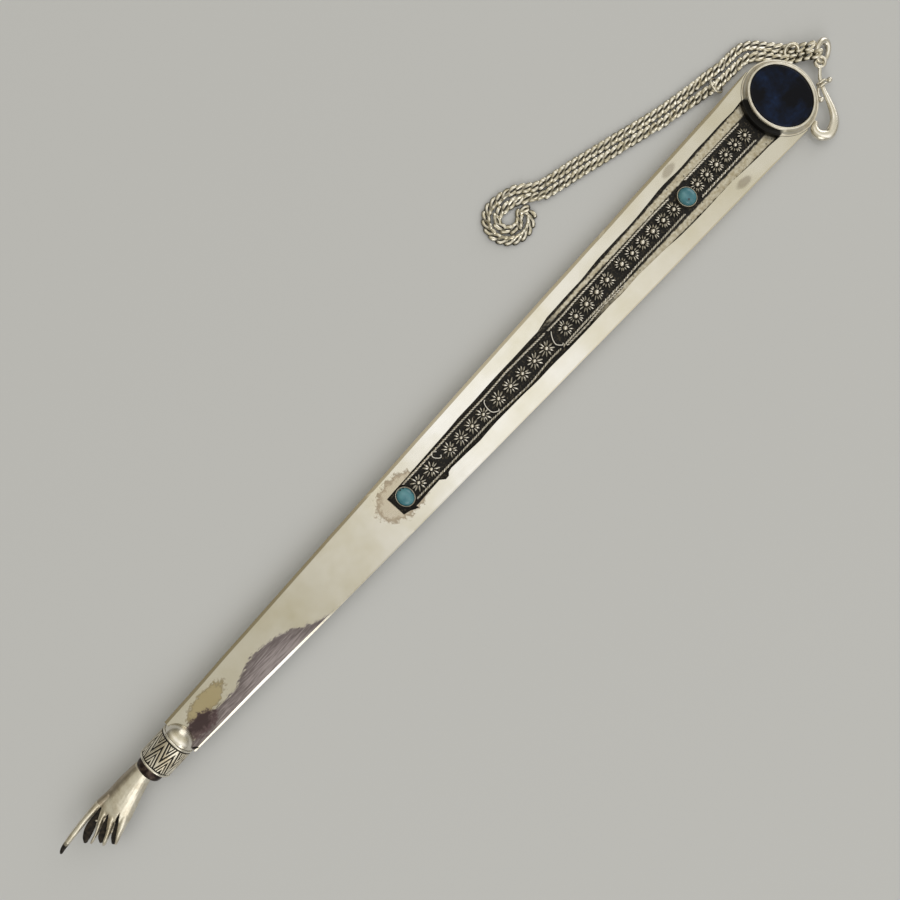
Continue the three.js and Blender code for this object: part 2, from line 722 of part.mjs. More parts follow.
function chainTube(name, route, steps) {
  const extrudePath = smooth(route);
  const tube = new THREE.ExtrudeGeometry(chainSection, { steps, extrudePath, bevelEnabled: false });
  add(root, name, tube, brightSilver);
  return extrudePath;
}

chainTube("chain_out", outRoute, chainSteps);
chainTube("chain_back", backRoute, chainSteps);
const crookCurve = chainTube("chain_crook", crookRoute(), 2 * chainSteps);

// The least gap of the crook to itself, measured between points that are more than two widths apart along it.
const gapSteps = 240;
const gapPoints = crookCurve.getSpacedPoints(gapSteps);
const apart = Math.ceil((2 * chainWidth * gapSteps) / crookCurve.getLength());
let leastGap = Infinity;
gapPoints.forEach((point, i) => {
  for (const other of gapPoints.slice(i + apart)) {
    leastGap = Math.min(leastGap, point.distanceTo(other) - chainWidth);
  }
});
console.log(`chain_crook: least gap to itself ${leastGap.toFixed(2)} mm`);

// A small ring on the returning strand, leaning back so that the strand passes through it.
const chainRing = new THREE.TorusGeometry(chainRingRadius, chainRingWireRadius, 6, 18);
chainRing.rotateY(-THREE.MathUtils.degToRad(chainRingLean));
chainRing.rotateZ(THREE.MathUtils.degToRad(chainRingHeading));
add(root, "chain_ring", chainRing, brightSilver).position.set(...chainRingPlace);

export default root;
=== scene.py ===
import json
import math
import random
from functools import partial

import bmesh
import bpy
import numpy as np
from mathutils import Matrix, Vector, noise


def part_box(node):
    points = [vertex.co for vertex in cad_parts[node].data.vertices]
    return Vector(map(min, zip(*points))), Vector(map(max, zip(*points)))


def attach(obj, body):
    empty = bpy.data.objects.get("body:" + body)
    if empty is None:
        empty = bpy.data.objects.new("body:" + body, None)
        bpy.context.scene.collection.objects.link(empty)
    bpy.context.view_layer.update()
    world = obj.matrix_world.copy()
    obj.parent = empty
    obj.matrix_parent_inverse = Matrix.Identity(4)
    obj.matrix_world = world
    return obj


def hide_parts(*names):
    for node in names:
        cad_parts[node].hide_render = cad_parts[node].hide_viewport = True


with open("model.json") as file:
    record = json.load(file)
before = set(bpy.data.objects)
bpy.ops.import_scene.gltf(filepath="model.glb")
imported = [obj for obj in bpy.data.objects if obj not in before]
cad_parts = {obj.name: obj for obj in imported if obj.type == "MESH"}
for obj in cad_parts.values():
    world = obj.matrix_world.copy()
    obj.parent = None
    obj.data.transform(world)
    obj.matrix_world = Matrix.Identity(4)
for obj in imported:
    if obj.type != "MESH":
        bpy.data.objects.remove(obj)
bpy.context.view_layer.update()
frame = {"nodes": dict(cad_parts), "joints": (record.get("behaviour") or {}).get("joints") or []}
print("frame loaded")

# The pointer has its own frame: millimetres, x from the fingertip along the blade, z = 0 halfway up the blade.
# It lies on the collar's back rim and the far end of the blade, so it is tilted a little.
resting = {"x": -106.274, "y": 2.2585, "z": 4.1026, "tilt": math.radians(0.83175)}
millimetre = 0.001
pointerTilt = Matrix.Rotation(resting["tilt"], 4, "Y")
pointerPlace = Matrix.Translation((resting["x"], resting["y"], resting["z"])) @ pointerTilt
fromPointer = Matrix.Scale(millimetre, 4) @ pointerPlace
fromTable = Matrix.Scale(millimetre, 4)

blade = {
    "start": 31.75, "hornX": 197.85, "startHalf": 4.05, "endHalf": 8.075, "bow": 0.3,
    "bottom": -1.125, "backTop": -0.125, "frontBottom": -0.075, "top": 1.125,
    "outerBevel": 0.62, "filedSlope": 0.5, "channelBevel": 0.1, "underBevel": 0.25,
    "rightShare": ((33, 48, 58, 75), (0.42, 0.77, 0.77, 0.42)), "hornShare": ((188, 197.5), (1, 0.25)),
}
channel = {"start": 91.65, "end": 191.57, "startHalf": 2.2, "endHalf": 4.8, "floor": -0.075,
           "stripHalves": (2.25, 2.6), "blackEnds": (158, 152), "leftEarlier": 9}
bezelShape = {"x": 198.35, "foot": 6.78, "extra": 1.09}


def addObject(name, data):
    made = bpy.data.objects.new(name, data)
    bpy.context.scene.collection.objects.link(made)
    return made


# Camera: straight over the blade, turned so that the pointer lies from lower left to upper right
shot = {"x": 106.7, "y": -0.1, "height": 171, "turn": math.radians(-46.8), "lens": 36}
cameraData = bpy.data.cameras.new("overhead")
cameraData.lens = shot["lens"]
cameraData.sensor_width = 36
cameraData.clip_start = 0.01
camera = addObject("overhead", cameraData)
camera.location = fromPointer @ Vector((shot["x"], shot["y"], blade["top"] + shot["height"]))
camera.rotation_euler = (pointerTilt @ Matrix.Rotation(shot["turn"], 4, "Z")).to_euler()
bpy.context.scene.camera = camera
bpy.context.scene.view_settings.view_transform = "Standard"


# Mesh making

def smoothLine(points, count, closed=False):
    # an even line of count points through the given ones
    given = np.array(points, float)
    if closed:
        given = np.vstack([given[-1:], given, given[:2]])
    else:
        given = np.vstack([2 * given[0] - given[1], given, 2 * given[-1] - given[-2]])
    fine = []
    for a, b, c, d in zip(given, given[1:], given[2:], given[3:]):
        for t in np.linspace(0, 1, 12, endpoint=False):
            fine.append(0.5 * (2 * b + (c - a) * t + (2 * a - 5 * b + 4 * c - d) * t**2
                               + (3 * b - a - 3 * c + d) * t**3))
    fine.append(given[-2])
    fine = np.array(fine)
    along = np.concatenate([[0], np.cumsum(np.linalg.norm(np.diff(fine[:, :3], axis=0), axis=1))])
    at = np.linspace(0, along[-1], count, endpoint=not closed)
    return np.stack([np.interp(at, along, fine[:, k]) for k in range(fine.shape[1])], axis=1)


def framesAlong(line, closed, start):
    # direction, side and normal at each point, turned as little as possible from one to the next
    if closed:
        ahead = np.roll(line, -1, 0) - np.roll(line, 1, 0)
    else:
        ahead = np.gradient(line, axis=0)
    ahead /= np.linalg.norm(ahead, axis=1)[:, None]
    normal = np.array(start, float)
    normals = []
    for direction in ahead:
        normal = normal - direction * normal.dot(direction)
        normal /= np.linalg.norm(normal)
        normals.append(normal)
    normals = np.array(normals)
    return ahead, np.cross(normals, ahead), normals


def fullTurn(steps):
    return np.arange(steps) * 2 * math.pi / steps


def flatOval(steps, halfLength, halfWidth):
    angles = fullTurn(steps)
    return np.stack([halfLength * np.cos(angles), halfWidth * np.sin(angles), 0 * angles], axis=1)


def sweep(line, halfWidth, halfHeight, sides=8, closed=False, start=(0, 0, 1), flatten=1.0):
    # a bar along a line; widths are numbers or one for each point, flatten squeezes its underside
    line = np.asarray(line, float)[:, :3]
    _, side, normal = framesAlong(line, closed, start)
    wide = np.broadcast_to(halfWidth, len(line))
    high = np.broadcast_to(halfHeight, len(line))
    angles = fullTurn(sides)
    up = np.where(np.sin(angles) < 0, flatten, 1) * np.sin(angles)
    rings = (line[:, None] + side[:, None] * (np.cos(angles)[None, :, None] * wide[:, None, None])
             + normal[:, None] * (up[None, :, None] * high[:, None, None]))
    count = len(line)
    faces = []
    for i in range(count if closed else count - 1):
        for j in range(sides):
            k = (i + 1) % count
            faces.append((i * sides + j, i * sides + (j + 1) % sides, k * sides + (j + 1) % sides, k * sides + j))
    if not closed:
        faces.append(tuple(range(sides))[::-1])
        faces.append(tuple((count - 1) * sides + j for j in range(sides)))
    return rings.reshape(-1, 3), faces


def lathe(profile, sides, extra=0.0, along="Z", at=(0, 0, 0)):
    # turned about an axis; extra makes it an oval that reaches further along y
    rings, faces = [], []
    for radius, height in profile:
        for j in range(sides):
            angle = 2 * math.pi * j / sides
            across, up = radius * math.cos(angle), (radius + extra * (radius > 0)) * math.sin(angle)
            rings.append((height, across, up) if along == "X" else (across, up, height))
    for i in range(len(profile) - 1):
        for j in range(sides):
            k = (j + 1) % sides
            faces.append((i * sides + j, i * sides + k, (i + 1) * sides + k, (i + 1) * sides + j))
    return np.array(rings) + np.array(at), faces


def ball(centre, radius, sides=16, rings=10, squash=1.0):
    profile = [(max(radius * math.sin(math.pi * i / rings), 1e-4),
                -radius * squash * math.cos(math.pi * i / rings))
               for i in range(rings + 1)]
    return lathe(profile, sides, at=centre)


def makePiece(name, parts, material, body="pointer", stands=(), matrix=fromPointer, sharp=40):
    # one mesh from (points, faces) parts, placed in the table's frame
    vertices, faces, offset = [], [], 0
    for points, partFaces in parts:
        vertices.append(np.asarray(points, float))
        faces += [tuple(offset + i for i in face) for face in partFaces]
        offset += len(points)
    place = np.array(matrix)
    vertices = np.vstack(vertices) @ place[:3, :3].T + place[:3, 3]
    mesh = bpy.data.meshes.new(name)
    mesh.from_pydata(vertices.tolist(), [], faces)
    return finishPiece(name, mesh, material, body, stands, sharp)


def finishPiece(name, mesh, material, body, stands, sharp=40):
    builder = bmesh.new()
    builder.from_mesh(mesh)
    bmesh.ops.remove_doubles(builder, verts=builder.verts, dist=2e-7)
    bmesh.ops.recalc_face_normals(builder, faces=builder.faces)
    builder.to_mesh(mesh)
    builder.free()
    mesh.polygons.foreach_set("use_smooth", [True] * len(mesh.polygons))
    mesh.set_sharp_from_angle(angle=math.radians(sharp))
    mesh.materials.append(material)
    piece = addObject(name, mesh)
    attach(piece, body)
    if stands:
        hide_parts(*stands)
    return piece


def paintRelief(piece, heights):
    piece.data.attributes.new("relief", "FLOAT", "POINT").data.foreach_set("value", heights)


# Materials

def linear(code):
    parts = [int(code[i:i + 2], 16) / 255 for i in (1, 3, 5)]
    return (*[p / 12.92 if p <= 0.04045 else ((p + 0.055) / 1.055) ** 2.4 for p in parts], 1)


def addNode(tree, kind, inputs=None, **settings):
    made = tree.nodes.new("ShaderNode" + kind)
    for key, value in settings.items():
        setattr(made, key, value)
    for key, value in (inputs or {}).items():
        if isinstance(value, bpy.types.Node):
            value = next(s for s in value.outputs if s.enabled)
        if isinstance(value, bpy.types.NodeSocket):
            tree.links.new(value, made.inputs[key])
        else:
            made.inputs[key].default_value = value
    return made


def newMaterial(name):
    made = bpy.data.materials.new(name)
    made.use_nodes = True
    made.node_tree.nodes.clear()
    return made, partial(addNode, made.node_tree)


def pointerSpace(add):
    # the pointer's own millimetres, for patterns that keep their real size and place on it
    return add("Mapping", {"Vector": add("TexCoord").outputs["Object"], "Scale": (1000, 1000, 1000),
                           "Rotation": (0, -resting["tilt"], 0),
                           "Location": tuple(pointerPlace.inverted().translation)})


def finishMaterial(add, values):
    shader = add("BsdfPrincipled", values)
    add("OutputMaterial", {"Surface": shader})


def twoTones(add, source, low, high, first, second):
    # the first colour where the source is under low, the second where it is over high
    share = add("MapRange", {"Value": source, "From Min": low, "From Max": high})
    return add("Mix", {0: share, 6: linear(first), 7: linear(second)}, data_type="RGBA")


def finishByMask(add, mask, colour, rough, metal, normal=None):
    # roughness and metal go from their first value to their second with the mask
    values = {"Base Color": colour}
    for socket, (first, second) in (("Metallic", metal), ("Roughness", rough)):
        values[socket] = add("MapRange", {"Value": mask, "To Min": first, "To Max": second})
    if normal:
        values["Normal"] = normal
    finishMaterial(add, values)


def silverMaterial(name, finish):
    # sterling silver, a warm white metal; patch is the scale of its dull patches, grain that of its marks
    made, add = newMaterial(name)
    place = pointerSpace(add)
    patches = add("TexNoise", {"Vector": place, "Scale": finish["patch"], "Detail": 4})
    colour = twoTones(add, patches, 0.4, 0.72, finish["bright"], finish["dull"])
    marks = add("TexNoise", {"Vector": place, "Scale": finish["grain"], "Detail": 3})
    rough = add("MapRange", {"Value": patches, "From Min": 0.3, "From Max": 0.75, "To Min": finish["rough"],
                             "To Max": finish["rough"] + 0.12})
    bump = add("Bump", {"Height": marks, "Strength": finish["bump"], "Distance": 0.00005})
    finishMaterial(add, {"Base Color": colour, "Metallic": 1, "Roughness": rough, "Normal": bump})
    return made


castSilver = silverMaterial("castSterlingSilver", {
    "bright": "#e5e1d8", "dull": "#d4cdbb", "rough": 0.18, "patch": 0.35, "grain": 2.5, "bump": 0.25})
wireSilver = silverMaterial("drawnSilverWire", {
    "bright": "#dcd7c9", "dull": "#aa9f88", "rough": 0.24, "patch": 0.8, "grain": 5, "bump": 0.2})


def chainMaterial():
    # pressed silver links, rubbed pale on top, with olive dirt and tarnish in the gaps; the dark in the gaps and
    # on the links' lower sides is also painted shade
    made, add = newMaterial("pressedCurbChainSilver")
    place = pointerSpace(add)
    relief = add("Attribute", attribute_name="relief")
    wear = add("TexNoise", {"Vector": place, "Scale": 0.8, "Detail": 4})
    height = add("Math", {0: wear, 1: 0.7, 2: relief.outputs["Fac"]}, operation="MULTIPLY_ADD")
    mask = add("MapRange", {"Value": height, "From Min": 0.52, "From Max": 1.12})
    bright = twoTones(add, wear, 0.42, 0.68, "#e2ddd0", "#c0b8a2")
    # 353020: olive dirt and painted shade where the relief is low
    colour = add("Mix", {0: mask, 6: linear("#353020"), 7: bright}, data_type="RGBA")
    finishByMask(add, mask, colour, rough=(0.5, 0.22), metal=(0.6, 1))
    return made


chainSilver = chainMaterial()


# Chain: one length of flat curb chain, laid double, its fold turned back on itself in a small crook.
# The route is in the table's frame, in metres, in the order in which the chain runs.
outRoute = [
    (0.1041, 0.00385, 0.00235), (0.10315, 0.0049, 0.00185), (0.10215, 0.00595, 0.0013),
    (0.10095, 0.0073, 0.00075), (0.09975, 0.0088, 0.0005), (0.0987, 0.0103, 0.0005), (0.0976, 0.0118,
            0.0005), (0.0965, 0.0131, 0.0005),
    (0.095, 0.01415, 0.0005), (0.093, 0.01455, 0.0005), (0.0908, 0.01465, 0.0005), (0.0887, 0.01485, 0.0005),
    (0.0865, 0.01535, 0.0005), (0.0836, 0.01575, 0.0005), (0.079, 0.0166, 0.0005), (0.0745, 0.01755, 0.0005),
    (0.0702, 0.01875, 0.0005), (0.0659, 0.02, 0.0005), (0.0616, 0.0212, 0.0005), (0.0573, 0.0224, 0.0005),
    (0.0528, 0.0235, 0.0005), (0.0494, 0.0245, 0.0005), (0.0475, 0.02575, 0.0005), (0.0458, 0.0271, 0.0005),
    (0.0444, 0.02785, 0.0005), (0.04285, 0.02822, 0.0005),
]
backRoute = [
    (0.0425, 0.02615, 0.0005), (0.0438, 0.0258, 0.0005), (0.0452, 0.025, 0.0005), (0.0469, 0.02375, 0.0005),
    (0.049, 0.02245, 0.0005), (0.0523, 0.0215, 0.0005), (0.0567, 0.0204, 0.0005), (0.061, 0.0192, 0.0005),
    (0.0653, 0.018, 0.0005), (0.0697, 0.0168, 0.0005), (0.074, 0.0155, 0.0005), (0.0786, 0.01455, 0.0005),
    (0.0832, 0.0135, 0.0007), (0.086, 0.0128, 0.00118), (0.0884, 0.0126, 0.0007), (0.0907, 0.0125, 0.0005),
    (0.0926, 0.01235, 0.0005), (0.0941, 0.01205, 0.0005), (0.09515, 0.0114, 0.0005), (0.09605, 0.01055, 0.0005),
    (0.0971, 0.00915, 0.0005), (0.0982, 0.0076, 0.0005), (0.0994, 0.0061, 0.0006), (0.10065, 0.0049, 0.00115),
    (0.10185, 0.0039, 0.00185), (0.10275, 0.0029, 0.00235),
]
crook = {"x": 0.04035, "y": 0.02455, "outer": 0.00405, "inner": 0.00195, "widening": 0.0005,
         "start": 80, "end": 326, "width": 0.0015, "height": 0.00049}


def crookPoint(radius, degrees, onward=0.0):
    middle = (crook["start"] + crook["end"]) / 2
    t = min(max((degrees - middle) / (crook["end"] - middle), 0), 1)
    reach = radius + crook["widening"] * t * t * (3 - 2 * t)
    angle = math.radians(degrees)
    return (crook["x"] + reach * math.cos(angle) - onward * math.sin(angle),
            crook["y"] + reach * math.sin(angle) + onward * math.cos(angle), crook["height"])


loopAngles = np.linspace(crook["start"], crook["end"], 18)
turnRadius = (crook["outer"] - crook["inner"]) / 2
outerLoop = [crookPoint(crook["outer"], crook["start"], -crook["width"])]
outerLoop += [crookPoint(crook["outer"], a) for a in loopAngles]
innerLoop = [crookPoint(crook["inner"], a) for a in loopAngles[::-1]]
innerLoop += [crookPoint(crook["inner"], crook["start"], -crook["width"])]
foldBack = [crookPoint(crook["inner"] + turnRadius * (1 + math.cos(a)), crook["end"], turnRadius * math.sin(a))
            for a in np.arange(1, 8) * math.pi / 8]
chainRoute = outRoute + outerLoop + foldBack + innerLoop + backRoute

# Its links: ovals twisted along their length and pressed flat. The first, inside the end ring, is left out.
link = {"pitch": 1.46, "halfLength": 1.08, "halfWidth": 0.46, "wire": 0.37, "twist": math.radians(60),
        "skew": math.radians(34), "pressed": 0.78, "steps": 24, "sides": 8, "wander": math.radians(10),
        "nearCrook": 4.9, "crookRoll": math.radians(18), "lowest": 0.01, "rubbedAndLitFrom": 0.04, "rubbedAndLitOver": 0.3}
linkRoute = np.array(chainRoute) / millimetre
routeLength = np.linalg.norm(np.diff(smoothLine(linkRoute, 3000), axis=0), axis=1).sum()
linkCount = round(routeLength / link["pitch"])
linkCentres = smoothLine(linkRoute, linkCount)
flatLink = flatOval(link["steps"], link["halfLength"], link["halfWidth"])
linkTwist = link["twist"] * np.cos(fullTurn(link["steps"]))
twistedLink = flatLink[:, [0, 1, 1]] * np.stack([np.ones(link["steps"]), np.cos(linkTwist), np.sin(linkTwist)],
                                                axis=1)
twistedLink = twistedLink @ np.array(Matrix.Rotation(link["skew"], 3, "Z")).T
linkPoints, linkFaces = sweep(twistedLink, link["wire"], link["wire"], link["sides"], closed=True)
linkPoints[:, 2] *= link["pressed"]
ahead = framesAlong(linkCentres, False, (0, 0, 1))[0]
across = np.cross((0, 0, 1), ahead)
across /= np.linalg.norm(across, axis=1)[:, None]
upward = np.cross(ahead, across)
chainParts, chainRelief = [], []
random.seed(7)
for centre, x, y, z in list(zip(linkCentres, ahead, across, upward))[1:]:
    roll = random.gauss(0, 1) * link["wander"]
    fromCrook = math.dist(centre[:2], (crook["x"] / millimetre, crook["y"] / millimetre))
    if fromCrook < link["nearCrook"]:
        roll += link["crookRoll"]
    y, z = y * math.cos(roll) + z * math.sin(roll), z * math.cos(roll) - y * math.sin(roll)
    placed = centre + linkPoints @ np.stack([x, y, z])
    placed[:, 2] += max(0, link["lowest"] - placed[:, 2].min())
    chainParts.append((placed, linkFaces))
    # relief: 0 low on a link, 1 on its top; the dark low down is dirt and painted shade
    chainRelief.append(np.clip((placed[:, 2] - centre[2] - link["rubbedAndLitFrom"]) / link["rubbedAndLitOver"], 0, 1))

# a loose jump ring round both strands beside the bezel, standing up on its outer side
jumpRing = {"place": (100.7, 6.85, 1.25), "along": (0.65, -0.76, 0), "outward": (0.64, 0.55, 0.54),
            "radius": 1.25, "wire": 0.32}
jumpLine = (flatOval(48, jumpRing["radius"], jumpRing["radius"])[:, :2]
            @ np.array([jumpRing["along"], jumpRing["outward"]])
            + jumpRing["place"])
chainParts.append(sweep(jumpLine, jumpRing["wire"], jumpRing["wire"], 10, closed=True))
chainRelief.append(np.ones(len(chainParts[-1][0])))
chain = makePiece("curb_chain", chainParts, chainSilver,
                  stands=("chain_out", "chain_crook", "chain_back"), matrix=fromTable)
paintRelief(chain, np.concatenate(chainRelief))
chainPath = smoothLine(chainRoute, 600)

chainRing = {"place": (86.1, 12.7, 1.18), "radius": 1.5, "wire": 0.2, "lean": 40, "heading": 168}
ringTurn = (Matrix.Rotation(math.radians(chainRing["heading"]), 3, "Z")
            @ Matrix.Rotation(-math.radians(chainRing["lean"]), 3, "Y"))
ringLine = flatOval(48, chainRing["radius"], chainRing["radius"]) @ np.array(ringTurn).T + chainRing["place"]
smallRing = makePiece("small_ring", [sweep(ringLine, chainRing["wire"], chainRing["wire"], 10, closed=True)],
                      wireSilver, stands=("chain_ring",), matrix=fromTable)

# Stains and wear on the blade's face, in the pointer's frame. Each row: place and reach in millimetres, turn in
# degrees, softness and raggedness of the edge, colour, strength, and how far in the stain is clear (0: nowhere).
# painted shade on the bezel: black below this height and short of this x, where its slope faces the channel
bezelShade = {"top": 2.05, "end": 194.2}
stains = [
    # olive and purple-brown spots beside the cap
    ((39.9, 0.9), (5.0, 1.85), 3, 0.1, 1.2, "#a9996c", 0.8, 0),
    ((39.9, 0.9), (5.0, 1.85), 3, 0.12, 1.3, "#665942", 0.6, 0.94),
    ((36.4, -1.3), (3.7, 1.95), -4, 0.2, 2.2, "#5e4c50", 0.95, 0),
    ((36.6, -1.0), (2.7, 1.35), -4, 0.35, 3.4, "#3f3133", 0.85, 0),
    # soldering heat: a brown ring round the tip of the channel
    ((93.9, 0.6), (5.7, 3.9), 0, 0.07, 1.1, "#75624f", 0.7, 0.88),
    ((93.6, 0.6), (5.4, 3.75), 0, 0.12, 1.0, "#bbab93", 0.5, 0),
    # grey smudges
    ((173.8, 6.0), (1.7, 0.8), 8, 0.3, 0.5, "#978e7d", 0.6, 0),
    ((182.0, -6.0), (1.7, 0.8), -5, 0.3, 0.5, "#908777", 0.65, 0),
    # small black pits at the upper edge and beside the cap
    ((156.4, 7.0), (0.9, 0.28), 12, 0.3, 0.9, "#13100c", 1.0, 0),
    ((126.4, 6.62), (1.5, 0.1), 2, 0.3, 0.6, "#27211b", 0.9, 0),
    ((32.3, -3.5), (0.7, 0.22), -40, 0.3, 0.6, "#13100c", 1.0, 0),
]
# The purple-grey film by the lower edge ends at a line: x along the pointer, and y there
tarnish = {"line": [(31, -1.9), (36, -2.4), (41.1, -1.2), (43.2, -1.45), (45.6, -1.34), (48.7, -0.3),
                    (52.7, 0.52), (56.8, 0.01), (60.4, -1.05), (63.7, -3.04), (68.7, -4.89), (72.3, -5.6),
                    (77, -7.5)],
           "lowest": -8, "highest": 2, "light": "#a0969c", "dark": "#50434b"}


def addStain(add, place, ragged, colour, stain):
    # paints one stain over a colour: an oval whose edge the ragged noise breaks up
    (x, y), reach, turn, soft, rough, tint, strength, clear = stain
    oval = add("Mapping", {"Vector": place, "Location": (x, y, 0), "Rotation": (0, 0, math.radians(turn)),
                           "Scale": (*reach, 1e6)}, vector_type="TEXTURE")
    far = add("VectorMath", {0: oval}, operation="LENGTH")
    broken = add("Math", {0: ragged, 1: rough, 2: far.outputs["Value"]}, operation="MULTIPLY_ADD")
    middle = 1 + 0.5 * rough
    mask = add("MapRange", {"Value": broken, "From Min": middle + soft, "From Max": middle - soft,
                            "To Max": strength}, interpolation_type="SMOOTHSTEP")
    if clear:
        inner = middle * clear
        hole = add("MapRange", {"Value": broken, "From Min": inner - 0.1, "From Max": inner + 0.1},
                   interpolation_type="SMOOTHSTEP")
        mask = add("Math", {0: mask, 1: hole}, operation="MULTIPLY")
    return add("Mix", {0: mask, 6: colour, 7: linear(tint)}, data_type="RGBA"), mask


def addTarnish(add, place, ragged, colour):
    # the streaked film: everything below its line, but not the filed edge, which is rubbed bright
    axes = add("SeparateXYZ", {0: place})
    line = tarnish["line"]
    first, last = line[0][0], line[-1][0]
    span = tarnish["highest"] - tarnish["lowest"]
    along = add("MapRange", {"Value": axes.outputs["X"], "From Min": first, "From Max": last})
    edge = add("FloatCurve", {"Value": along})
    curve = edge.mapping.curves[0]
    curve.points[0].location = (0, (line[0][1] - tarnish["lowest"]) / span)
    curve.points[1].location = (1, (line[-1][1] - tarnish["lowest"]) / span)
    for x, y in line[1:-1]:
        curve.points.new((x - first) / (last - first), (y - tarnish["lowest"]) / span)
    edge.mapping.update()
    limit = add("MapRange", {"Value": edge, "To Min": tarnish["lowest"], "To Max": tarnish["highest"]})
    below = add("Math", {0: limit, 1: axes.outputs["Y"]}, operation="SUBTRACT")
    slanted = add("Mapping", {"Vector": place, "Rotation": (0, 0, math.radians(28)), "Scale": (0.9, 5.5, 1)})
    barbs = add("TexNoise", {"Vector": slanted, "Scale": 1, "Detail": 3, "Roughness": 0.6})
    feathered = add("Math", {0: barbs, 1: 2.3, 2: below}, operation="MULTIPLY_ADD")
    broken = add("Math", {0: ragged, 1: 0.9, 2: feathered}, operation="MULTIPLY_ADD")
    mask = add("MapRange", {"Value": broken, "From Min": 1.4, "From Max": 1.85}, interpolation_type="SMOOTHSTEP")
    started = add("Math", {0: axes.outputs["X"], 1: first - 1}, operation="GREATER_THAN")
    ended = add("Math", {0: axes.outputs["X"], 1: last - 1}, operation="LESS_THAN")
    facing = add("SeparateXYZ", {0: add("TexCoord").outputs["Normal"]})
    flat = add("MapRange", {"Value": facing.outputs["Z"], "From Min": 0.93, "From Max": 0.99})
    for part in (started, ended, flat):
        mask = add("Math", {0: mask, 1: part}, operation="MULTIPLY")
    drawn = add("Mapping", {"Vector": place, "Rotation": (0, 0, math.radians(-6)), "Scale": (0.3, 5, 1)})
    streaks = add("TexNoise", {"Vector": drawn, "Scale": 1, "Detail": 5, "Roughness": 0.7})
    deep = add("MapRange", {"Value": below, "From Min": 0.2, "From Max": 3.2, "To Min": -0.1, "To Max": 0.05})
    shaded = add("Math", {0: streaks, 1: deep}, operation="ADD")
    film = twoTones(add, shaded, 0.38, 0.6, tarnish["dark"], tarnish["light"])
    strong = add("Math", {0: mask, 1: 0.9}, operation="MULTIPLY")
    return add("Mix", {0: strong, 6: colour, 7: film}, data_type="RGBA"), mask


def bladeMaterial():
    # sterling silver sheet, hand polished: nearly a mirror, with a faint yellow film, fine scratches and stains
    made, add = newMaterial("handPolishedSilverSheet")
    place = pointerSpace(add)
    film = add("TexNoise", {"Vector": place, "Scale": 0.09, "Detail": 4})
    colour = twoTones(add, film, 0.38, 0.64, "#e1ded6", "#d5d0bf")
    ragged = add("TexNoise", {"Vector": place, "Scale": 0.9, "Detail": 7, "Roughness": 0.68})
    colour, dulled = addTarnish(add, place, ragged, colour)
    for stain in stains:
        colour, mask = addStain(add, place, ragged, colour, stain)
        dulled = add("Math", {0: dulled, 1: mask}, operation="MAXIMUM")
    # painted shade: the filed edges are a little darker and yellower, except low down on the right
    axes = add("SeparateXYZ", {0: place})
    facing = add("SeparateXYZ", {0: add("TexCoord").outputs["Normal"]})
    filed = add("MapRange", {"Value": facing.outputs["Z"], "From Min": 0.985, "From Max": 0.9})
    left = add("Math", {0: axes.outputs["Y"], 1: 0}, operation="GREATER_THAN")
    higher = add("MapRange", {"Value": axes.outputs["X"], "From Min": 104, "From Max": 128, "To Max": 0.8})
    shadedEdgeSide = add("Math", {0: left, 1: higher}, operation="MAXIMUM")
    paintedEdgeShade = add("Math", {0: filed, 1: shadedEdgeSide}, operation="MULTIPLY")
    colour = add("Mix", {0: paintedEdgeShade, 6: colour, 7: linear("#d8cfba")}, data_type="RGBA")
    # polishing scratches run along the blade
    scratchSpace = add("Mapping", {"Vector": place, "Scale": (0.35, 4, 1)})
    scratches = add("TexNoise", {"Vector": scratchSpace, "Scale": 1, "Detail": 6, "Roughness": 0.75})
    mottle = add("TexNoise", {"Vector": place, "Scale": 0.35, "Detail": 5})
    dents = add("TexNoise", {"Vector": place, "Scale": 0.08, "Detail": 1})
    uneven = add("Math", {0: scratches, 1: mottle}, operation="ADD")
    rough = add("MapRange", {"Value": uneven, "From Min": 0.75, "From Max": 1.25, "To Min": 0.1, "To Max": 0.2})
    rougher = add("Math", {0: dulled, 1: 0.25, 2: rough}, operation="MULTIPLY_ADD")
    wavy = add("Bump", {"Height": dents, "Strength": 0.3, "Distance": 0.0002})
    fine = add("Bump", {"Height": uneven, "Strength": 0.12, "Distance": 0.00003, "Normal": wavy})
    metal = add("MapRange", {"Value": dulled, "To Min": 1, "To Max": 0.55})
    finishMaterial(add, {"Base Color": colour, "Metallic": metal, "Roughness": rougher, "Normal": fine})
    return made


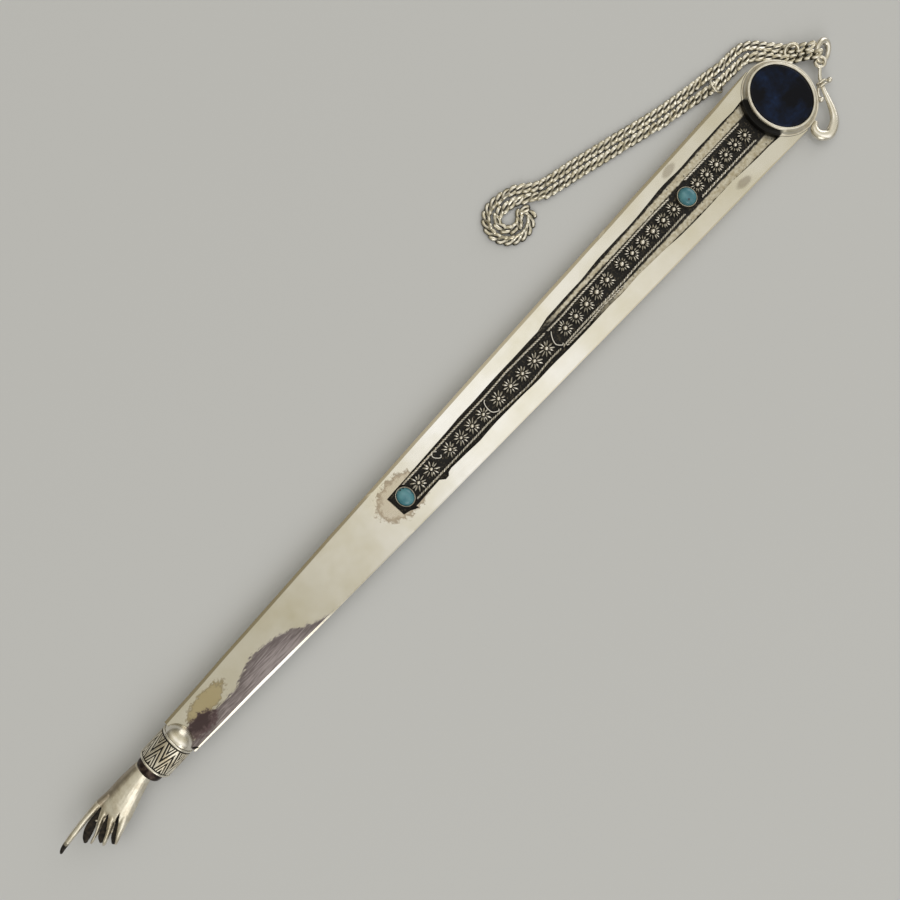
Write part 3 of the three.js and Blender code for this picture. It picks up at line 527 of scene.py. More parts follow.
def channelFloorMaterial():
    # the same sheet where the channel bares it: left from the soldering bath, black under the filigree and along
    # the start of both margins, black oxide and painted shade in the corners, worn to a dull beige further up,
    # with pits
    made, add = newMaterial("oxidisedSilverSheetWithPaintedShade")
    place = pointerSpace(add)
    axes = add("SeparateXYZ", {0: place})
    coarse = add("TexNoise", {"Vector": place, "Scale": 0.45, "Detail": 6, "Roughness": 0.65})
    fine = add("TexNoise", {"Vector": place, "Scale": 1.6, "Detail": 5, "Roughness": 0.6})
    aside = add("Math", {0: axes.outputs["Y"]}, operation="ABSOLUTE")
    ends = {"From Min": channel["start"], "From Max": channel["end"]}
    wall = add("MapRange", {"Value": axes.outputs["X"], **ends, "To Min": channel["startHalf"],
                            "To Max": channel["endHalf"]}, clamp=False)
    strip = add("MapRange", {"Value": axes.outputs["X"], **ends, "To Min": channel["stripHalves"][0],
                             "To Max": channel["stripHalves"][1]}, clamp=False)
    toWall = add("Math", {0: wall, 1: aside}, operation="SUBTRACT")
    toStrip = add("Math", {0: aside, 1: strip}, operation="SUBTRACT")
    nearest = add("Math", {0: toWall, 1: toStrip}, operation="MINIMUM")
    uneven = add("Math", {0: fine, 1: -0.5, 2: nearest}, operation="MULTIPLY_ADD")
    # black oxide and painted shade: darker close to the channel's walls and beside the strip
    corner = add("MapRange", {"Value": uneven, "From Min": 0.06, "From Max": -0.14})
    # the black ends raggedly some way up the margins, on the left one earlier
    leftSide = add("Math", {0: axes.outputs["Y"], 1: 0}, operation="GREATER_THAN")
    shifted = add("Math", {0: leftSide, 1: channel["leftEarlier"], 2: axes.outputs["X"]},
                  operation="MULTIPLY_ADD")
    ragged = add("Math", {0: coarse, 1: 16, 2: shifted}, operation="MULTIPLY_ADD")
    tip = add("MapRange", {"Value": ragged, "From Min": channel["blackEnds"][0],
                           "From Max": channel["blackEnds"][1]})
    patches = add("MapRange", {"Value": coarse, "From Min": 0.58, "From Max": 0.85, "To Max": 0.45})
    pits = add("TexVoronoi", {"Vector": place, "Scale": 0.9})
    pitMask = add("MapRange", {"Value": pits.outputs["Distance"], "From Min": 0.2, "From Max": 0.1,
                               "To Max": 0.7})
    oxide = add("Math", {0: corner, 1: tip}, operation="MAXIMUM")
    for mask in (patches, pitMask):
        oxide = add("Math", {0: oxide, 1: mask}, operation="MAXIMUM")
    worn = twoTones(add, fine, 0.35, 0.65, "#d1ccbd", "#afa58e")
    scraps = add("TexNoise", {"Vector": place, "Scale": 2.6, "Detail": 4, "Roughness": 0.7})
    ground = twoTones(add, scraps, 0.55, 0.78, "#0b0908", "#7f745f")
    colour = add("Mix", {0: oxide, 6: worn, 7: ground}, data_type="RGBA")
    bump = add("Bump", {"Height": fine, "Strength": 0.5, "Distance": 0.00008})
    finishByMask(add, oxide, colour, rough=(0.36, 0.62), metal=(0.9, 0.3), normal=bump)
    return made


def reliefMaterial():
    # cast silver with liver-of-sulphur black left in the hollows and rubbed off the ridges; on the hand the black
    # in the hollows is also painted shade
    made, add = newMaterial("blackenedReliefSilverWithPaintedShade")
    place = pointerSpace(add)
    relief = add("Attribute", attribute_name="relief")
    wear = add("TexNoise", {"Vector": place, "Scale": 1.4, "Detail": 4})
    height = add("Math", {0: wear, 1: 0.5, 2: relief.outputs["Fac"]}, operation="MULTIPLY_ADD")
    mask = add("MapRange", {"Value": height, "From Min": 0.78, "From Max": 1.05})
    dark = twoTones(add, wear, 0.42, 0.7, "#0e0b09", "#383027")
    # the skin between: grey-brown in faint drifts
    drift = add("TexNoise", {"Vector": place, "Scale": 0.3, "Detail": 5, "Roughness": 0.6})
    bright = twoTones(add, drift, 0.42, 0.7, "#e3ded1", "#beb39c")
    colour = add("Mix", {0: mask, 6: dark, 7: bright}, data_type="RGBA")
    # painted shade: a brown tone on the left flank of the palm
    axes = add("SeparateXYZ", {0: place})
    flank = add("Math", {0: drift, 1: 2.4, 2: axes.outputs["Y"]}, operation="MULTIPLY_ADD")
    paintedFlankShade = add("MapRange", {"Value": flank, "From Min": 2.2, "From Max": 3.4, "To Max": 0.6},
                 interpolation_type="SMOOTHSTEP")
    onPalm = add("Math", {0: axes.outputs["X"], 1: 17, 2: 5}, operation="COMPARE")
    film = add("Math", {0: paintedFlankShade, 1: onPalm}, operation="MULTIPLY")
    colour = add("Mix", {0: film, 6: colour, 7: linear("#82705b")}, data_type="RGBA")
    dents = add("Bump", {"Height": drift, "Strength": 0.5, "Distance": 0.0004})
    bump = add("Bump", {"Height": wear, "Strength": 0.2, "Distance": 0.00008, "Normal": dents})
    finishByMask(add, mask, colour, rough=(0.55, 0.4), metal=(0.5, 1), normal=bump)
    return made


def filigreeMaterial():
    # drawn silver wire soldered down on a black ground: the tops are rubbed bright, the feet stay black
    made, add = newMaterial("solderedFiligreeWire")
    place = pointerSpace(add)
    axes = add("SeparateXYZ", {0: place})
    wear = add("TexNoise", {"Vector": place, "Scale": 0.9, "Detail": 3})
    height = add("Math", {0: wear, 1: -0.35, 2: axes.outputs["Z"]}, operation="MULTIPLY_ADD")
    mask = add("MapRange", {"Value": height, "From Min": channel["floor"] + 0.08,
                            "From Max": channel["floor"] + 0.28})
    colour = add("Mix", {0: mask, 6: linear("#0c0a08"), 7: linear("#e1dcd2")}, data_type="RGBA")
    finishByMask(add, mask, colour, rough=(0.6, 0.32), metal=(0.4, 1))
    return made


def bezelMaterial():
    # polished cast silver, with painted shade: black low down where its slope faces the channel
    made, add = newMaterial("castSilverWithPaintedShade")
    place = pointerSpace(add)
    axes = add("SeparateXYZ", {0: place})
    wear = add("TexNoise", {"Vector": place, "Scale": 0.8, "Detail": 4})
    aside = add("Math", {0: axes.outputs["Y"]}, operation="ABSOLUTE")
    facing = add("Math", {0: aside, 1: 0.06, 2: axes.outputs["X"]}, operation="MULTIPLY_ADD")
    broken = add("Math", {0: wear, 1: 0.5, 2: facing}, operation="MULTIPLY_ADD")
    low = add("Math", {0: axes.outputs["Z"], 1: bezelShade["top"]}, operation="LESS_THAN")
    below = add("MapRange", {"Value": broken, "From Min": bezelShade["end"] + 0.3,
                             "From Max": bezelShade["end"] - 0.3})
    withinMouth = add("MapRange", {"Value": aside, "From Min": channel["endHalf"] + 0.2,
                                   "From Max": channel["endHalf"]})
    mask = add("Math", {0: low, 1: below}, operation="MULTIPLY")
    mask = add("Math", {0: mask, 1: withinMouth}, operation="MULTIPLY")
    bright = twoTones(add, wear, 0.4, 0.7, "#dcd8cd", "#cbc4b5")
    colour = add("Mix", {0: mask, 6: bright, 7: linear("#0a0908")}, data_type="RGBA")
    finishByMask(add, mask, colour, rough=(0.3, 0.55), metal=(1, 0.3))
    return made


def oxideMaterial():
    # silver blackened all over: dark, with a purple cast, and a little rubbed
    made, add = newMaterial("blackenedSilver")
    place = pointerSpace(add)
    wear = add("TexNoise", {"Vector": place, "Scale": 1.1, "Detail": 5})
    colour = twoTones(add, wear, 0.4, 0.75, "#281e1e", "#665851")
    bump = add("Bump", {"Height": wear, "Strength": 0.6, "Distance": 0.0001})
    finishMaterial(add, {"Base Color": colour, "Metallic": 0.9, "Roughness": 0.42, "Normal": bump})
    return made


def turquoiseMaterial():
    # polished turquoise: waxy, sky blue with greener clouds and a few dark specks of matrix
    made, add = newMaterial("polishedTurquoise")
    place = pointerSpace(add)
    clouds = add("TexNoise", {"Vector": place, "Scale": 0.5, "Detail": 4})
    colour = twoTones(add, clouds, 0.35, 0.65, "#377586", "#57929f")
    specks = add("TexVoronoi", {"Vector": place, "Scale": 0.7})
    speck = add("MapRange", {"Value": specks.outputs["Distance"], "From Min": 0.2, "From Max": 0.1})
    dotted = add("Mix", {0: speck, 6: colour, 7: linear("#132f37")}, data_type="RGBA")
    finishMaterial(add, {"Base Color": dotted, "Roughness": 0.2, "IOR": 1.61})
    return made


def blueStoneMaterial():
    # a dark blue opaque stone, ground flat and polished to glass: nearly black, with drifts of deep blue
    made, add = newMaterial("polishedDarkBlueStone")
    place = pointerSpace(add)
    clouds = add("TexNoise", {"Vector": place, "Scale": 0.16, "Detail": 5, "Roughness": 0.6, "Distortion": 0.4})
    # the clearest drift lies toward the channel
    drift = add("Mapping", {"Vector": place, "Location": (195.6, 0.1, 0), "Rotation": (0, 0, math.radians(35)),
                            "Scale": (3.0, 2.2, 1e6)}, vector_type="TEXTURE")
    near = add("VectorMath", {0: drift}, operation="LENGTH")
    spot = add("MapRange", {"Value": near.outputs["Value"], "From Min": 1.2, "From Max": 0, "To Max": 0.22},
               interpolation_type="SMOOTHSTEP")
    lifted = add("Math", {0: clouds, 1: spot}, operation="ADD")
    grains = add("TexNoise", {"Vector": place, "Scale": 1.3, "Detail": 3})
    colour = twoTones(add, lifted, 0.48, 0.8, "#060812", "#1e3865")
    mottled = add("Mix", {0: grains, 6: colour, 7: linear("#080b15")}, data_type="RGBA")
    finishMaterial(add, {"Base Color": mottled, "Roughness": 0.2, "IOR": 1.5, "Specular IOR Level": 0.13})
    return made


sheetSilver = bladeMaterial()
floorSilver = channelFloorMaterial()
reliefSilver = reliefMaterial()
filigreeSilver = filigreeMaterial()
bezelSilver = bezelMaterial()
blackSilver = oxideMaterial()
turquoise = turquoiseMaterial()
blueStone = blueStoneMaterial()
print("materials made")

# Hand: a left hand seen from its back, index finger out, the others folded under so that thin ridges stand
# between dark hollows. Bars of (x, y, z, half width, half height), melted into one skin.
handShape = {
    "palm": [(22.4, 0.65, 0, 2.05, 2.0), (20.5, 0.6, 0, 2.35, 1.97), (17.3, 0.24, 0, 2.85, 1.88),
             (14.5, -0.22, 0, 3.28, 1.75), (12.4, -0.5, 0, 3.6, 1.5), (11.5, -0.55, 0, 3.4, 1.25),
             (11, -0.6, 0, 2.9, 0.85)],
    "ridges": [
        [(14.2, 2.1, 0.2, 0.95, 1.1), (11.6, 2.55, 0.35, 0.72, 0.9), (9.8, 2.52, 0.4, 0.66, 0.85),
         (8.4, 2.48, 0.4, 0.64, 0.8), (6.3, 2.32, 0.35, 0.64, 0.75), (3.9, 2.08, 0.3, 0.62, 0.7),
         (1.9, 1.86, 0.15, 0.54, 0.6), (0.7, 1.7, 0.05, 0.46, 0.5), (-0.05, 1.5, 0, 0.38, 0.42),
         (-0.3, 1.38, 0, 0.3, 0.3)],
        [(13, 0.7, 0.3, 0.9, 1.0), (11.6, 0.6, 0.5, 0.62, 0.85), (10.1, 0.22, 0.55, 0.4, 0.8),
         (8.4, -0.5, 0.45, 0.34, 0.75), (7.1, -1.0, 0.25, 0.28, 0.75), (5.7, -1.35, -0.1, 0.28, 0.75),
         (5, -1.5, -0.4, 0.26, 0.6)],
        [(13.4, -0.7, 0.3, 1.0, 1.1), (11.75, -1.13, 0.5, 0.72, 0.95), (9.9, -2.1, 0.5, 0.46, 0.8),
         (8.5, -2.7, 0.35, 0.42, 0.75), (7.2, -3.15, 0.05, 0.4, 0.75), (6.4, -3.45, -0.3, 0.32, 0.6)],
        [(14.2, -2.2, 0.1, 1.1, 1.2), (11.9, -3.4, 0.2, 0.84, 1.0), (10.3, -4.05, 0.2, 0.62, 0.8),
         (9, -4.6, 0.0, 0.42, 0.6), (8, -5.0, -0.25, 0.3, 0.4)],
        [(18, 1.4, -0.8, 0.85, 0.85), (14.2, 1.8, -1.4, 0.8, 0.8), (11, 0.9, -1.75, 0.7, 0.7),
         (9.6, 0.1, -1.8, 0.55, 0.55)],
        [(11, 1.3, 0.1, 0.9, 0.9), (9.4, 0.9, -0.1, 0.9, 0.8)],
        [(11, -1.0, 0.1, 0.9, 0.9), (9.4, -1.6, -0.1, 0.8, 0.8)],
        [(12.2, -2.6, 0.1, 0.9, 0.9), (10.5, -3.3, -0.1, 0.8, 0.8)],
    ],
    "folded": [
        [(11.3, 1.5, -0.2, 0.5, 0.7), (9.5, 1.2, -0.3, 0.85, 0.8), (7.7, 0.85, -0.4, 0.95, 0.8),
         (6, 0.4, -0.5, 0.9, 0.75), (4.8, -0.1, -0.6, 0.72, 0.65), (4.1, -0.5, -0.7, 0.42, 0.5)],
        [(11, -0.4, -0.2, 0.4, 0.7), (9.6, -1.0, -0.3, 0.65, 0.75), (8.1, -1.65, -0.4, 0.75, 0.75),
         (6.9, -2.2, -0.55, 0.7, 0.7), (6.2, -2.65, -0.65, 0.42, 0.5)],
        [(12.3, -2.05, -0.2, 0.45, 0.8), (11, -2.7, -0.25, 0.55, 0.75), (9.6, -3.35, -0.35, 0.62, 0.7),
         (8.5, -4.0, -0.5, 0.6, 0.65), (7.7, -4.55, -0.6, 0.42, 0.5)],
    ],
    # the hollows pressed over the folded fingers: x, y and half width; they end in a point on the palm
    "hollows": [
        [(12.1, 1.85, 0.06), (11, 1.6, 0.3), (9.5, 1.25, 0.58), (7.7, 0.85, 0.88), (6, 0.4, 0.95),
         (4.8, -0.1, 0.85), (3.8, -0.6, 0.7)],
        [(12, -0.12, 0.06), (10.9, -0.45, 0.3), (9.6, -1.0, 0.52), (8.1, -1.65, 0.66), (6.9, -2.2, 0.7),
         (5.9, -2.75, 0.6)],
        [(13.6, -1.55, 0.06), (12.2, -2.1, 0.3), (11, -2.7, 0.42), (9.6, -3.4, 0.55), (8.5, -4.0, 0.6),
         (7.4, -4.65, 0.55)],
    ],
    # how the hollows are pressed in and darkened, with black oxide and painted shade, how the index finger
    # darkens toward its tip, and a painted highlight, a spot between two hollows left unpressed and bright: x, y
    # and size
    "hollowLevel": -0.1, "hollowEdge": 0.2, "hollowDepth": 0.8, "blackFrom": -1.3, "blackRise": 1.5,
    "tipBlackFrom": -0.4, "tipBlackOver": 3.4, "paintedHighlight": (8.9, 0.62, 0.3), "voxel": 0.09,
}


def barLine(points):
    return smoothLine(points, 40)


palmLine = barLine(handShape["palm"])
ridgeLines = [barLine(points) for points in handShape["ridges"]]
foldedLines = [barLine(points) for points in handShape["folded"]]
handParts = [sweep(palmLine, palmLine[:, 3], palmLine[:, 4], 28)]
for line in ridgeLines + foldedLines:
    handParts.append(sweep(line, line[:, 3], line[:, 4], 16))
    for end in (0, -1):
        knob, knobFaces = ball((0, 0, 0), 1)
        handParts.append((knob * line[end, [3, 3, 4]] + line[end, :3], knobFaces))
hand = makePiece("pointing_hand", handParts, reliefSilver, stands=("hand",), sharp=180)
melt = hand.modifiers.new("melt", "REMESH")
melt.mode = "VOXEL"
melt.voxel_size = handShape["voxel"] * millimetre
melt.use_smooth_shade = True
soften = hand.modifiers.new("soften", "SMOOTH")
soften.factor = 0.5
soften.iterations = 4
bpy.context.view_layer.objects.active = hand
for modifier in ("melt", "soften"):
    bpy.ops.object.modifier_apply(modifier=modifier)
toPointer, fromPointerNow = np.array(fromPointer.inverted()), np.array(fromPointer)
skin = np.empty(len(hand.data.vertices) * 3)
hand.data.vertices.foreach_get("co", skin)
skin = skin.reshape(-1, 3) @ toPointer[:3, :3].T + toPointer[:3, 3]
sunk = np.zeros(len(skin))
for points in handShape["hollows"]:
    line = barLine([(x, y, 0, width) for x, y, width in points])
    step = np.linalg.norm(skin[:, None, :2] - line[None, :, :2], axis=2)
    inside = line[step.argmin(axis=1), 3] - step.min(axis=1)
    sunk = np.maximum(sunk, np.clip(inside / handShape["hollowEdge"], 0, 1))
# painted highlight: round this spot the hollows are neither pressed in nor darkened
shineX, shineY, shineSize = handShape["paintedHighlight"]
sunk *= np.clip(np.hypot(skin[:, 0] - shineX, skin[:, 1] - shineY) / shineSize - 0.5, 0, 1)
above = np.clip(skin[:, 2] - handShape["hollowLevel"], 0, None)
skin[:, 2] -= sunk * above * handShape["hollowDepth"]
# the hollows' upper faces are darkened: black oxide and painted shade
relief = 1 - sunk * np.clip(handShape["blackRise"] * (skin[:, 2] - handShape["blackFrom"]), 0, 1)
relief *= np.clip((skin[:, 0] - handShape["tipBlackFrom"]) / handShape["tipBlackOver"], 0, 1)
skin = skin @ fromPointerNow[:3, :3].T + fromPointerNow[:3, 3]
hand.data.vertices.foreach_set("co", skin.ravel())
hand.data.update()
paintRelief(hand, relief)
print("hand made")

# Collar: neck ring, two rims, the zigzag tube and the cap, all turned about the blade's axis
collar = {"pin": 1.05, "neckStart": 22.45, "neckLength": 1.9, "neckRadius": 2.85, "rimRadius": 3.65,
          "rimLength": 0.5, "rims": (24.4, 30.7), "start": 24.95, "length": 5.7, "radius": 3.6, "wall": 0.8,
          "depth": 0.16, "zigzags": 8, "turn": 0.358, "front": 0.14, "back": 0.97, "bar": 0.2,
          "nested": ((0.65, 0.12), (1.14, 0.13)), "flank": 0.05, "capStart": 31.25, "capRadius": 3.4,
          "capLength": 3.0, "slotHeight": 2.35}


def washer(start, length, radius, inner, soft, sides=72):
    bulge = [(radius - soft * (1 - math.sin(a)), start + length / 2 - (length / 2) * math.cos(a))
             for a in np.linspace(0, math.pi, 9)]
    profile = [(inner, start)] + bulge + [(inner, start + length), (inner, start)]
    return lathe(profile, sides, along="X")


neckRing = washer(collar["neckStart"], collar["neckLength"], collar["neckRadius"], collar["pin"], 0.3)
makePiece("neck_band", [neckRing], blackSilver, stands=("neck_ring",))
for name, start in zip(("front", "back"), collar["rims"]):
    rimRing = washer(start, collar["rimLength"], collar["rimRadius"], collar["pin"], 0.22)
    makePiece(f"collar_{name}_wire", [rimRing], castSilver, stands=(f"collar_{name}_rim",))


def zigzagRelief(turns, t):
    # 1 on the zigzag bar and on the chevrons nested in it, 0 in the hollows
    phase = (turns * collar["zigzags"] + collar["turn"]) % 1
    reach = collar["back"] - collar["front"]
    bar = collar["front"] + reach * abs(2 * phase - 1)
    slope = reach * collar["length"] / (math.pi * collar["radius"] / collar["zigzags"])
    away = abs(t - bar) * collar["length"] / math.hypot(1, slope)
    least = away - collar["bar"]
    for middle, half in collar["nested"]:
        least = min(least, abs(away - middle) - half)
    return 1 - min(max(least / collar["flank"], 0), 1)


reliefSides, reliefSteps = 448, 64
reliefRings, reliefFaces, reliefHeights = [], [], []
for i in range(reliefSteps + 1):
    t = i / reliefSteps
    for j in range(reliefSides):
        height = zigzagRelief(j / reliefSides, t) if 0.03 < t < 0.97 else 0.0
        angle = 2 * math.pi * j / reliefSides
        radius = collar["radius"] - collar["depth"] * (1 - height)
        reliefHeights.append(height)
        reliefRings.append((collar["start"] + t * collar["length"], radius * math.cos(angle),
                            radius * math.sin(angle)))
for i in range(reliefSteps):
    for j in range(reliefSides):
        k = (j + 1) % reliefSides
        reliefFaces.append((i * reliefSides + j, i * reliefSides + k, (i + 1) * reliefSides + k,
                            (i + 1) * reliefSides + j))
bore = collar["radius"] - collar["wall"]
innerTube = lathe([(bore, collar["start"]), (bore, collar["start"] + collar["length"])], reliefSides, along="X")
boreFirst = len(reliefRings)
lastRing = reliefSteps * reliefSides
endFaces = []
for j in range(reliefSides):
    k = (j + 1) % reliefSides
    endFaces.append((j, boreFirst + j, boreFirst + k, k))
    endFaces.append((lastRing + j, lastRing + k, boreFirst + reliefSides + k, boreFirst + reliefSides + j))
allFaces = reliefFaces + endFaces + [tuple(boreFirst + i for i in face) for face in innerTube[1]]
zigzag = makePiece("zigzag_tube", [(np.vstack([reliefRings, innerTube[0]]), allFaces)], reliefSilver,
                   stands=("zigzag_collar",), sharp=60)
paintRelief(zigzag, reliefHeights + [0.0] * len(innerTube[0]))

capArc = [(max(collar["capRadius"] * math.cos(a), 1e-4),
           collar["capStart"] + collar["capLength"] * math.sin(a)) for a in np.linspace(0, math.pi / 2, 18)]
capProfile = [(1e-4, collar["capStart"])] + capArc
cap = makePiece("half_ball_cap", [lathe(capProfile, 72, along="X")], castSilver,
                stands=("domed_cap",))
cutter = bpy.data.meshes.new("slot")
slotSize = Vector((10, 10, collar["slotHeight"]))
builder = bmesh.new()
bmesh.ops.create_cube(builder, size=1)
bmesh.ops.scale(builder, vec=slotSize, verts=builder.verts)
bmesh.ops.translate(builder, vec=(blade["start"] - 0.05 + slotSize.x / 2, 0, 0), verts=builder.verts)
bmesh.ops.transform(builder, matrix=fromPointer, verts=builder.verts)
builder.to_mesh(cutter)
builder.free()
slotObject = addObject("slot", cutter)
cutSlot = cap.modifiers.new("slot", "BOOLEAN")
cutSlot.object = slotObject
cutSlot.solver = "EXACT"
bpy.context.view_layer.objects.active = cap
bpy.ops.object.modifier_apply(modifier="slot")
bpy.data.objects.remove(slotObject)
frame["nodes"]["core_pin"].data.materials.clear()
frame["nodes"]["core_pin"].data.materials.append(castSilver)
print("collar made")


# Blade: two sheets with filed edges; the channel is sawn in the front one, not quite true

def wobble(x, seed, size, step):
    return size * noise.noise(Vector((x / step, seed, 0)))


def halfWidth(x):
    # the blade widens from the cap to the horns, with slightly bowed sides
    t = (x - blade["start"]) / (blade["hornX"] - blade["start"])
    return blade["startHalf"] + (blade["endHalf"] - blade["startHalf"]) * t + blade["bow"] * 4 * t * (1 - t)


def outerEdge(sign, steps=90):
    points = []
    for i in range(steps + 1):
        x = blade["start"] + (blade["hornX"] - blade["start"]) * i / steps
        points.append((x, sign * (halfWidth(x) + wobble(x, 3 + sign, 0.05, 9))))
    return points


def ovalArc(grow, fromAngle, toAngle, steps):
    length, width = bezelShape["foot"] + grow, bezelShape["foot"] + bezelShape["extra"] + grow
    angles = np.radians(np.linspace(fromAngle, toAngle, steps + 1))
    return [(bezelShape["x"] + length * math.cos(a), width * math.sin(a)) for a in angles]


def edgeLine(points, stations, seed, size, step):
    # a sawn or bent line through measured points, with a hand's unsteadiness
    x, y = np.array(points).T
    return [(float(s), float(np.interp(s, x, y)) + wobble(s, seed, size, step)) for s in stations]


def sheet(name, outline, bottom, top, bevels, materials, stands, faceMaterial=None):
    # a flat sheet from its outline, with its edges filed: each of bevels has a width, the choice of edges, and a
    # function that moves the filed points, or None
    builder = bmesh.new()
    corners = [builder.verts.new((x, y, top)) for x, y in outline]
    face = builder.faces.new(corners)
    extruded = bmesh.ops.extrude_face_region(builder, geom=[face])
    lowCorners = [v for v in extruded["geom"] if isinstance(v, bmesh.types.BMVert)]
    bmesh.ops.translate(builder, vec=(0, 0, bottom - top), verts=lowCorners)
    bmesh.ops.recalc_face_normals(builder, faces=builder.faces)
    for width, chosen, moved in bevels:
        edges = [e for e in builder.edges if chosen(*[v.co for v in e.verts])]
        filed = bmesh.ops.bevel(builder, geom=edges, offset=width, segments=1, affect="EDGES",
                                clamp_overlap=moved is None)
        for corner in filed["verts"] if moved else ():
            moved(corner.co)
    if faceMaterial:
        for face in builder.faces:
            face.material_index = faceMaterial(face)
    bmesh.ops.transform(builder, matrix=fromPointer, verts=builder.verts)
    mesh = bpy.data.meshes.new(name)
    builder.to_mesh(mesh)
    builder.free()
    piece = finishPiece(name, mesh, materials[0], "pointer", stands, 20)
    for extra in materials[1:]:
        piece.data.materials.append(extra)
    return piece


arcLength = bezelShape["foot"] + 0.05
arcWidth = arcLength + bezelShape["extra"]
hornAngle = math.degrees(math.acos((bezelShape["x"] - blade["hornX"]) / arcLength))
mouthAngle = math.degrees(math.asin(channel["endHalf"] / arcWidth))
farLine = [(91.65, 2.2), (100, 2.5), (112, 2.9), (121.7, 3.12), (134.5, 3.15), (137.5, 3.75), (147, 3.92),
           (153, 4.28), (160, 4.25), (166, 4.5), (170, 4.86), (175, 4.66), (181, 4.9), (190, 4.8), (193, 4.8)]
nearLine = [(104, -2.6), (112, -3.05), (116.5, -2.85), (122, -3.0), (127, -3.18), (133, -3.36), (142, -3.5),
            (148, -3.42), (150, -3.6), (155, -3.42), (163, -3.82), (166, -4.16), (171, -4.32), (181, -4.25),
            (187, -4.75), (193, -4.8)]
stations = np.arange(channel["start"] + 14, bezelShape["x"] - 7.2, 1.6)
farSide = edgeLine(farLine, [channel["start"], *np.arange(93.2, 105, 1.6), *stations], 12, 0.1, 5)
# the near side starts with two slips of the saw
nearSlips = [(91.75, -2.15), (93.1, -2.5), (94.65, -3.3), (94.75, -3.05), (94.6, -2.75), (95.9, -2.72),
             (97.6, -2.62), (99.4, -2.6), (101.2, -2.55), (102.15, -3.35), (103.0, -3.3), (103.5, -2.8),
             (104.4, -2.62)]
nearSide = nearSlips + edgeLine(nearLine, stations, 10, 0.1, 5)
frontOutline = (outerEdge(-1) + ovalArc(0.05, 180 + hornAngle, 180 + mouthAngle, 20)[1:-1]
                + nearSide[::-1] + farSide + ovalArc(0.05, 180 - mouthAngle, 180 - hornAngle, 20)[1:-1]
                + outerEdge(1)[::-1])


def onTop(a, b, height):
    return abs(a.z - height) < 1e-4 and abs(b.z - height) < 1e-4


def atOutside(p):
    return abs(p.y) > halfWidth(p.x) - 0.2


def fileEdge(p):
    # the filed edge is narrower on the right, least so just above the cap, and runs out at the horns
    share = float(np.interp(p.x, *blade["rightShare"])) if p.y < 0 else 1
    share *= float(np.interp(p.x, *blade["hornShare"]))
    half = halfWidth(p.x)
    p.y = math.copysign(half - (half - abs(p.y)) * share, p.y)
    p.z = blade["top"] - (blade["top"] - p.z) * share * blade["filedSlope"]


sheet("front_sheet", frontOutline, blade["frontBottom"], blade["top"], [
    (blade["outerBevel"], lambda a, b: onTop(a, b, blade["top"]) and atOutside(a) and atOutside(b)
        and abs(a.x - b.x) > 0.5, fileEdge),
    (blade["channelBevel"], lambda a, b: onTop(a, b, blade["top"]) and not (atOutside(a) and atOutside(b))
        and min(a.x, b.x) > 90, None),
], [sheetSilver], ("front_plate",))

backOutline = outerEdge(-1) + ovalArc(0, -90, 90, 48) + outerEdge(1)[::-1]
sheet("back_sheet", backOutline, blade["bottom"], blade["backTop"], [
    (blade["underBevel"], lambda a, b: onTop(a, b, blade["bottom"]) and min(abs(a.x - b.x) + abs(a.y - b.y),
            1) > 0.05
        and max(a.x, b.x) > blade["start"] + 0.1, None),
], [sheetSilver, floorSilver], ("back_plate",), lambda face: int(face.normal.z > 0.9))
print("blade made")

# Filigree strip: twisted edge wires, rosettes of wire petals round a grain, and scrolls between the runs
strip = {"strand": 0.14, "lay": 1.05, "apart": 0.82, "steps": 14, "wires": {
    "left": {
        "tip": [(95.7, 1.95), (112, 2.1), (118.5, 2.06), (124.8, 2.3), (129.8, 2.14), (135.3, 1.97)],
        "middle": [(135.95, 1.9), (140.6, 1.85), (143.6, 2.0), (147.8, 2.05), (165.5, 2.4), (170.3, 2.3)],
        "top": [(174.9, 2.5), (182, 2.45), (189.8, 2.35)]},
    "right": {
        "tip": [(95.7, -1.95), (112.1, -1.99), (116, -1.96), (125.1, -2.6), (127.3, -2.6), (132.7, -2.2),
                (135.3, -2.3)],
        "middle": [(135.95, -2.35), (139, -2.25), (146.4, -2.19), (153.3, -2.2), (157, -2.0), (164.7, -2.05),
                   (170.3, -1.95)],
        "top": [(174.9, -2.1), (178, -2.05), (189.8, -2.1)]},
    "mend": [(136.6, -2.75), (142, -2.85), (147, -2.6), (152.2, -2.75)]}}


def twistedWire(points, sense):
    # two strands laid round each other, along the measured points with a little unsteadiness
    knownX, knownY = np.array(points).T
    x = np.linspace(knownX[0], knownX[-1], int((knownX[-1] - knownX[0]) / strip["lay"] * strip["steps"]))
    y = np.array([np.interp(v, knownX, knownY) + wobble(v, 21 + knownX[0], 0.05, 4) for v in x])
    height = channel["floor"] + 2 * strip["strand"]
    swing = strip["apart"] * strip["strand"]
    strands = []
    for start in (0, math.pi):
        phase = sense * 2 * math.pi * x / strip["lay"] + start
        line = np.stack([x, y + swing * np.cos(phase), height + swing * np.sin(phase)], axis=1)
        strands.append(sweep(line, strip["strand"], strip["strand"], 6))
    return strands


for side, sense in (("left", 1), ("right", -1)):
    for name, points in strip["wires"][side].items():
        strands = twistedWire(points, sense)
        if (side, name) == ("right", "middle"):  # a second wire mends the edge there
            strands += twistedWire(strip["wires"]["mend"], -sense)
        makePiece(f"twisted_wire_{side}_{name}", strands, filigreeSilver,
                  stands=(f"edge_wire_{side}_{name}",))

